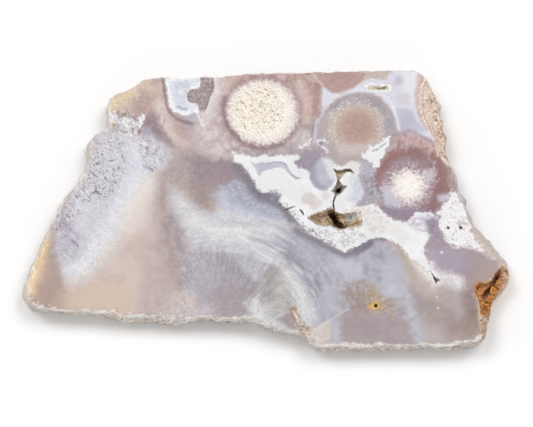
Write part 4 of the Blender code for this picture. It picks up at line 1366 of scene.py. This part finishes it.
# The noises of the fine coats: the size of their lumps, and their detail, roughness and distortion. Then how
# far some are stretched, the angle at which the strokes and needles lean, and how much all are widened
FINE_NOISES = {
    "grain": (0.55 * MM, 3, 0.6),
    "ragged": (1.3 * MM, 5, 0.6),
    "fluff": (0.9 * MM, 5, 0.78, 0.4),
    "cloudy": (4.0 * MM, 4),
    "speck": (0.75 * MM, 2, 0.7, 0.6),
    "stroke": (0.5 * MM, 1, 0.6, 1.2),
    "upright": (0.5 * MM, 3, 0.6),
    "needle": (0.6 * MM, 3, 0.6),
    "plume_bands": (1, 5, 0.7),
    "plume_hairs": (1, 4, 0.7, 0.5),
    "third_rays": (1, 3, 0.65),
}
UPRIGHT_STRETCH = (1, 0.14, 1)
NEEDLE_STRETCH = (0.22, 1, 1)
STROKE_STRETCH = (0.5, 1, 1)
LEANING = math.radians(40)
NOISE_GAIN = 4.0


def noise_kinds(tree, place):
    """The noises that the fine coats share, each from 0 to 1."""
    leaning = add(tree, "ShaderNodeVectorRotate", {"Vector": place, "Angle": LEANING}, rotation_type="Z_AXIS")
    places = {
        "upright": vector_node(tree, "MULTIPLY", place, UPRIGHT_STRETCH),
        "needle": vector_node(tree, "MULTIPLY", leaning.outputs[0], NEEDLE_STRETCH),
        "stroke": vector_node(tree, "MULTIPLY", leaning.outputs[0], STROKE_STRETCH),
        "plume_bands": rays_about(tree, place, PLUME_PX, *PLUME_BANDS),
        "plume_hairs": rays_about(tree, place, PLUME_PX, *PLUME_HAIRS),
        "third_rays": rays_about(tree, place, THIRD_FLOWER_PX, *FLOWER_RAYS),
    }
    return {kind: noise_share(tree, places.get(kind, place), *look) for kind, look in FINE_NOISES.items()}


def figure_group():
    """The node group that paints the agate's figure: every fine coat over the broad ones."""
    tree = bpy.data.node_groups.new("agate_figure", "ShaderNodeTree")
    tree.interface.new_socket("Colour", in_out="OUTPUT", socket_type="NodeSocketColor")
    place = add(tree, "ShaderNodeTexCoord").outputs["Object"]
    shares = noise_kinds(tree, place)
    centred = {kind: math_node(tree, "MULTIPLY_ADD", share, NOISE_GAIN, -NOISE_GAIN / 2)
               for kind, share in shares.items()}
    spread = {kind: ramped(tree, share, 0.34, 0.66) for kind, share in shares.items()}
    colour = add(tree, "ShaderNodeAttribute", attribute_name="broad_colour").outputs["Color"]
    for coat in COATS:
        inward = field(tree, "coat_" + coat.name)
        reach = math_node(tree, "MULTIPLY_ADD", centred[coat.by], coat.ragged, inward)
        cover = ramped(tree, reach, -coat.edge, coat.edge, 0.0, coat.strength)
        colour = mixed(tree, cover, colour, linear(coat.colours[0]))
        if len(coat.colours) > 1:
            second_cover = math_node(tree, "MULTIPLY", spread[coat.figure], cover)
            colour = mixed(tree, second_cover, colour, linear(coat.colours[1]))
    granular = ramped(tree, field(tree, "smooth_agate"), -2.0, 2.0, GRANULATION, GRANULATION * 0.3)
    fine = math_node(tree, "MULTIPLY_ADD", math_node(tree, "MULTIPLY", centred["fluff"], granular), 1.0, 1.0)
    fine = math_node(tree, "MULTIPLY_ADD", centred["grain"], math_node(tree, "MULTIPLY", granular, 0.7), fine)
    slow = math_node(tree, "MULTIPLY_ADD", centred["cloudy"], 0.025, fine)
    shade = add(tree, "ShaderNodeCombineXYZ", {0: slow, 1: slow, 2: slow}).outputs[0]
    colour = vector_node(tree, "MULTIPLY", colour, shade)
    output = add(tree, "NodeGroupOutput")
    tree.links.new(colour, output.inputs[0])
    return tree


AGATE_IOR = 1.54

# The sizes of the grain, lumps, crystals and saw marks in the finishes, and how deep their bump is
FACE_GRAIN = 0.35 * MM
FACE_LUMPS = 1.1 * MM
POLISH_LUMPS = 6 * MM
FACE_BUMP = 0.25 * MM
CRUST_LUMPS = 1.3 * MM
CRUST_GRAIN = 0.6 * MM
RIM_BUMP = 0.5 * MM
CRYSTAL = 0.45 * MM
CRYSTAL_SCATTER = 1.6 * MM
CRYSTAL_BUMP = 0.3 * MM
SAW_MARK = 2.4 * MM
DUST_LUMPS = 1.8 * MM
BACK_BUMP = 0.08 * MM


def new_material(name, figure):
    """A material that starts from the figure. Returns it with its tree, shader, place and figure colour."""
    made = bpy.data.materials.new(name)
    made.use_nodes = True
    tree = made.node_tree
    shader = tree.nodes["Principled BSDF"]
    shader.inputs["IOR"].default_value = AGATE_IOR
    place = add(tree, "ShaderNodeTexCoord").outputs["Object"]
    group = add(tree, "ShaderNodeGroup", node_tree=figure)
    return made, tree, shader, place, group.outputs[0]


def set_bump(tree, shader, height, distance, strength):
    """Gives a finish its fine relief."""
    bump = add(tree, "ShaderNodeBump", {"Height": height, "Distance": distance, "Strength": strength})
    tree.links.new(bump.outputs[0], shader.inputs["Normal"])


def polished_face(figure):
    """The polished face: a shine, dulled where crystals or sugary quartz pit it and at its chipped edge."""
    made, tree, shader, place, colour = new_material("polished_face", figure)
    along = vector_node(tree, "MULTIPLY", place, (0.45, 0.8, 1))
    fine = noise_share(tree, along, FACE_GRAIN, 4, 0.7)
    lumps = noise_share(tree, along, FACE_LUMPS, 5, 0.7)
    sheltered = ramped(tree, field(tree, "sheltered_rim"), -1.5, 1.5, -0.6, 0.7)
    edge = math_node(tree, "ADD", field(tree, "near_edge"), sheltered)
    reach = math_node(tree, "MULTIPLY_ADD", lumps, 3.2, edge)
    reach = math_node(tree, "MULTIPLY_ADD", fine, 1.2, reach)
    chip = ramped(tree, reach, 4.45, 5.05)
    white = mixed(tree, ramped(tree, fine, 0.42, 0.68), linear(CHIP_AND_HIGHLIGHT_WHITE), linear(CRUST_WARM))
    colour = mixed(tree, chip, colour, white)
    tree.links.new(colour, shader.inputs["Base Color"])
    pitted = math_node(tree, "MAXIMUM", ramped(tree, field(tree, "coat_sugar"), -0.2, 0.4, 0.0, 0.35),
                       ramped(tree, field(tree, "coat_crystals"), -0.2, 0.4, 0.0, 0.25))
    dull = math_node(tree, "MAXIMUM", pitted, chip)
    polish = ramped(tree, noise_share(tree, place, POLISH_LUMPS, 3), 0.3, 0.7, 0.16, 0.24)
    roughness = math_node(tree, "MULTIPLY_ADD", dull, 0.35, polish)
    tree.links.new(roughness, shader.inputs["Roughness"])
    height = math_node(tree, "MULTIPLY", fine, math_node(tree, "ADD", dull, 0.02))
    set_bump(tree, shader, height, FACE_BUMP, 0.8)
    return made


def crusted(tree, place):
    """The crust of the natural rim, with brown stains and white chips, and the two noises that make it."""
    along = vector_node(tree, "MULTIPLY", place, (0.4, 0.7, 0.6))
    lumps = noise_share(tree, along, CRUST_LUMPS, 5, 0.7)
    fine = noise_share(tree, along, CRUST_GRAIN, 4, 0.72, 0.8)
    crust = mixed(tree, ramped(tree, lumps, 0.40, 0.60), linear(CRUST), linear(CRUST_WARM))
    crust = mixed(tree, ramped(tree, fine, 0.52, 0.59, 0.0, 0.9), crust, linear(HOLLOW_STAIN))
    crust = mixed(tree, ramped(tree, fine, 0.49, 0.44, 0.0, 1.0), crust, linear(CHIP_AND_HIGHLIGHT_WHITE))
    return crust, lumps, fine


def broken_rim(figure):
    """The natural rim: the figure's colour under a pale crust, whitest just under the chipped edge, with white
    chips and a painted highlight.
    """
    made, tree, shader, place, colour = new_material("broken_rim", figure)
    crust, lumps, fine = crusted(tree, place)
    sheltered = ramped(tree, field(tree, "sheltered_rim"), -1.5, 1.5)
    glassy = ramped(tree, field(tree, "glassy_rim"), -0.6, 0.8)
    cover = math_node(tree, "MULTIPLY_ADD", sheltered, 0.25, 0.55)
    cover = math_node(tree, "MULTIPLY", cover, math_node(tree, "MULTIPLY_ADD", glassy, -0.75, 1.0))
    cover = math_node(tree, "MULTIPLY", cover, ramped(tree, lumps, 0.30, 0.52, 0.55, 1.0))
    bare = math_node(tree, "MAXIMUM", ramped(tree, field(tree, "coat_rust"), -0.5, 0.1),
                     ramped(tree, field(tree, "coat_skin"), -0.3, 0.2))
    bare = math_node(tree, "SUBTRACT", 1.0, bare)
    cover = math_node(tree, "MULTIPLY", cover, bare)
    open_side = ramped(tree, sheltered, 0.0, 1.0, 0.95, 0.35)
    pale = math_node(tree, "MULTIPLY", open_side, ramped(tree, lumps, 0.3, 0.6, 1.0, 0.5))
    crust = mixed(tree, pale, crust, linear(PALE_RIM))
    colour = mixed(tree, cover, colour, crust)
    # White chips and a painted highlight along the rim just under the face's edge
    near_face = ramped(tree, field(tree, "depth"), 0.1, 1.4, 1.0, 0.0)
    edge_chips_and_highlight = math_node(tree, "MULTIPLY", near_face, ramped(tree, lumps, 0.44, 0.60))
    edge_chips_and_highlight = math_node(tree, "MULTIPLY", edge_chips_and_highlight, math_node(tree, "MULTIPLY_ADD", glassy, -0.7, 0.9))
    edge_chips_and_highlight = math_node(tree, "MULTIPLY", edge_chips_and_highlight, bare)
    colour = mixed(tree, edge_chips_and_highlight, colour, linear(CHIP_AND_HIGHLIGHT_WHITE))
    tree.links.new(colour, shader.inputs["Base Color"])
    roughness = ramped(tree, lumps, 0.3, 0.7, 0.5, 0.75)
    roughness = math_node(tree, "MULTIPLY_ADD", glassy, -0.25, roughness)
    tree.links.new(roughness, shader.inputs["Roughness"])
    height = math_node(tree, "MULTIPLY_ADD", lumps, 0.6, math_node(tree, "MULTIPLY", fine, 0.4))
    set_bump(tree, shader, height, RIM_BUMP, 0.9)
    return made


def crystal_pockets(figure):
    """The pockets: tiny crystals that scatter a little light inside, with painted glints at the crystals'
    hearts and painted shade at their edges.
    """
    made, tree, shader, place, colour = new_material("crystal_pockets", figure)
    cells = add(tree, "ShaderNodeTexVoronoi", {"Vector": place, "Scale": 1 / CRYSTAL}, feature="F1")
    facets = cells.outputs["Distance"]
    # Painted glints and shade: each crystal's colour is lightened at its heart and darkened towards its edges
    painted_glint = ramped(tree, facets, 0.15, 0.75, 1.16, 0.9)
    shade = add(tree, "ShaderNodeCombineXYZ", {0: painted_glint, 1: painted_glint, 2: painted_glint}).outputs[0]
    colour = vector_node(tree, "MULTIPLY", colour, shade)
    tree.links.new(colour, shader.inputs["Base Color"])
    tree.links.new(ramped(tree, facets, 0.1, 0.8, 0.3, 0.6), shader.inputs["Roughness"])
    shader.inputs["Subsurface Weight"].default_value = 0.75
    shader.inputs["Subsurface Radius"].default_value = (1.0, 0.9, 0.8)
    shader.inputs["Subsurface Scale"].default_value = CRYSTAL_SCATTER
    set_bump(tree, shader, facets, CRYSTAL_BUMP, 0.8)
    return made


def sawn_back(figure):
    """The sawn back: the figure dulled by saw marks and dust."""
    made, tree, shader, place, colour = new_material("sawn_back", figure)
    lines = add(tree, "ShaderNodeTexWave", {
        "Vector": place, "Scale": 1 / SAW_MARK, "Distortion": 1.5, "Detail": 3, "Detail Scale": 1.2,
    }, bands_direction="X")
    marks = lines.outputs["Fac"]
    dust = noise_share(tree, place, DUST_LUMPS, 5, 0.6)
    share = math_node(tree, "MULTIPLY_ADD", marks, 0.12, ramped(tree, dust, 0.3, 0.7, 0.3, 0.55))
    colour = mixed(tree, share, colour, linear(BACK_GREY))
    tree.links.new(colour, shader.inputs["Base Color"])
    tree.links.new(ramped(tree, dust, 0.3, 0.7, 0.55, 0.75), shader.inputs["Roughness"])
    height = math_node(tree, "MULTIPLY_ADD", marks, 0.5, math_node(tree, "MULTIPLY", dust, 0.4))
    set_bump(tree, shader, height, BACK_BUMP, 0.7)
    return made


def dressed_slice():
    """The stone with its finishes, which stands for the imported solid."""
    mesh = refined_stone()
    keep_fields(mesh)
    figure = figure_group()
    for finish in (polished_face, broken_rim, crystal_pockets, sawn_back):
        mesh.materials.append(finish(figure))
    mesh.shade_smooth()
    mesh.set_sharp_from_angle(angle=ROUNDED_SHADE)
    stone = bpy.data.objects.new("dressed_agate_slice", mesh)
    bpy.context.scene.collection.objects.link(stone)
    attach(stone, "root")
    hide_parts("agate_slice")
    return stone


# The studio

FLOOR_SIZE = 4.0
FLOOR_WHITE = 0.86
WORLD_WHITE = (1.0, 1.0, 1.0, 1.0)
WORLD_STRENGTH = 0.52

# Each lamp's name, power in watts, width in metres, and azimuth and elevation in degrees
LAMPS = (
    ("left_key", 13.2, 1.0, 142, 56),
    ("right_key", 13.2, 1.0, 38, 56),
    ("front_fill", 5.2, 0.9, -90, 20),
    ("left_fill", 3.6, 0.8, 188, 15),
    ("right_fill", 2.4, 0.8, -8, 15),
)
LAMP_DISTANCE = 1.9

SENSOR = 36.0
CLIP_START = 0.01


def make_floor():
    """A plain white floor under the stone."""
    bm = bmesh.new()
    bmesh.ops.create_grid(bm, x_segments=1, y_segments=1, size=FLOOR_SIZE / 2)
    mesh = bpy.data.meshes.new("studio_floor")
    bm.to_mesh(mesh)
    bm.free()
    floor = bpy.data.objects.new("studio_floor", mesh)
    bpy.context.scene.collection.objects.link(floor)
    paint = bpy.data.materials.new("white_floor")
    paint.use_nodes = True
    shader = paint.node_tree.nodes["Principled BSDF"]
    shader.inputs["Base Color"].default_value = (FLOOR_WHITE, FLOOR_WHITE, FLOOR_WHITE, 1)
    shader.inputs["Roughness"].default_value = 1.0
    shader.inputs["Specular IOR Level"].default_value = 0.0
    mesh.materials.append(paint)


def look_at(obj, target):
    """Turns a lamp or the camera to a point."""
    obj.rotation_euler = (target - obj.location).to_track_quat("-Z", "Y").to_euler()


def light_studio():
    """A white room with two soft lamps behind the slab, and weak ones in front of it and at both ends."""
    world = bpy.data.worlds.new("white_studio")
    world.use_nodes = True
    background = world.node_tree.nodes["Background"]
    background.inputs["Color"].default_value = WORLD_WHITE
    background.inputs["Strength"].default_value = WORLD_STRENGTH
    bpy.context.scene.world = world
    for name, power, size, azimuth, elevation in LAMPS:
        lamp = bpy.data.lights.new(name, "AREA")
        lamp.shape = "DISK"
        lamp.size = size
        lamp.energy = power
        placed = bpy.data.objects.new(name, lamp)
        bpy.context.scene.collection.objects.link(placed)
        turn = math.radians(azimuth)
        rise = math.radians(elevation)
        level = math.cos(rise) * LAMP_DISTANCE
        placed.location = (level * math.cos(turn), level * math.sin(turn), math.sin(rise) * LAMP_DISTANCE)
        look_at(placed, Vector((0, 0, 0)))


def place_camera():
    """The photograph's camera: it looks down on the face from the front."""
    target = Vector((0, 0, THICKNESS)) - seen_at(*MIDDLE_PX)
    lens = bpy.data.cameras.new("photo_camera")
    lens.sensor_fit = "HORIZONTAL"
    lens.sensor_width = SENSOR
    lens.lens = SENSOR * VIEW_DISTANCE / (IMAGE_WIDTH * PIXEL)
    lens.clip_start = CLIP_START
    camera = bpy.data.objects.new("photo_camera", lens)
    bpy.context.scene.collection.objects.link(camera)
    camera.location = target + Vector((
        0, -math.cos(VIEW_ELEVATION) * VIEW_DISTANCE, math.sin(VIEW_ELEVATION) * VIEW_DISTANCE))
    look_at(camera, target)
    bpy.context.scene.camera = camera


bpy.context.scene.view_settings.view_transform = "Standard"
dressed_slice()
make_floor()
light_studio()
place_camera()
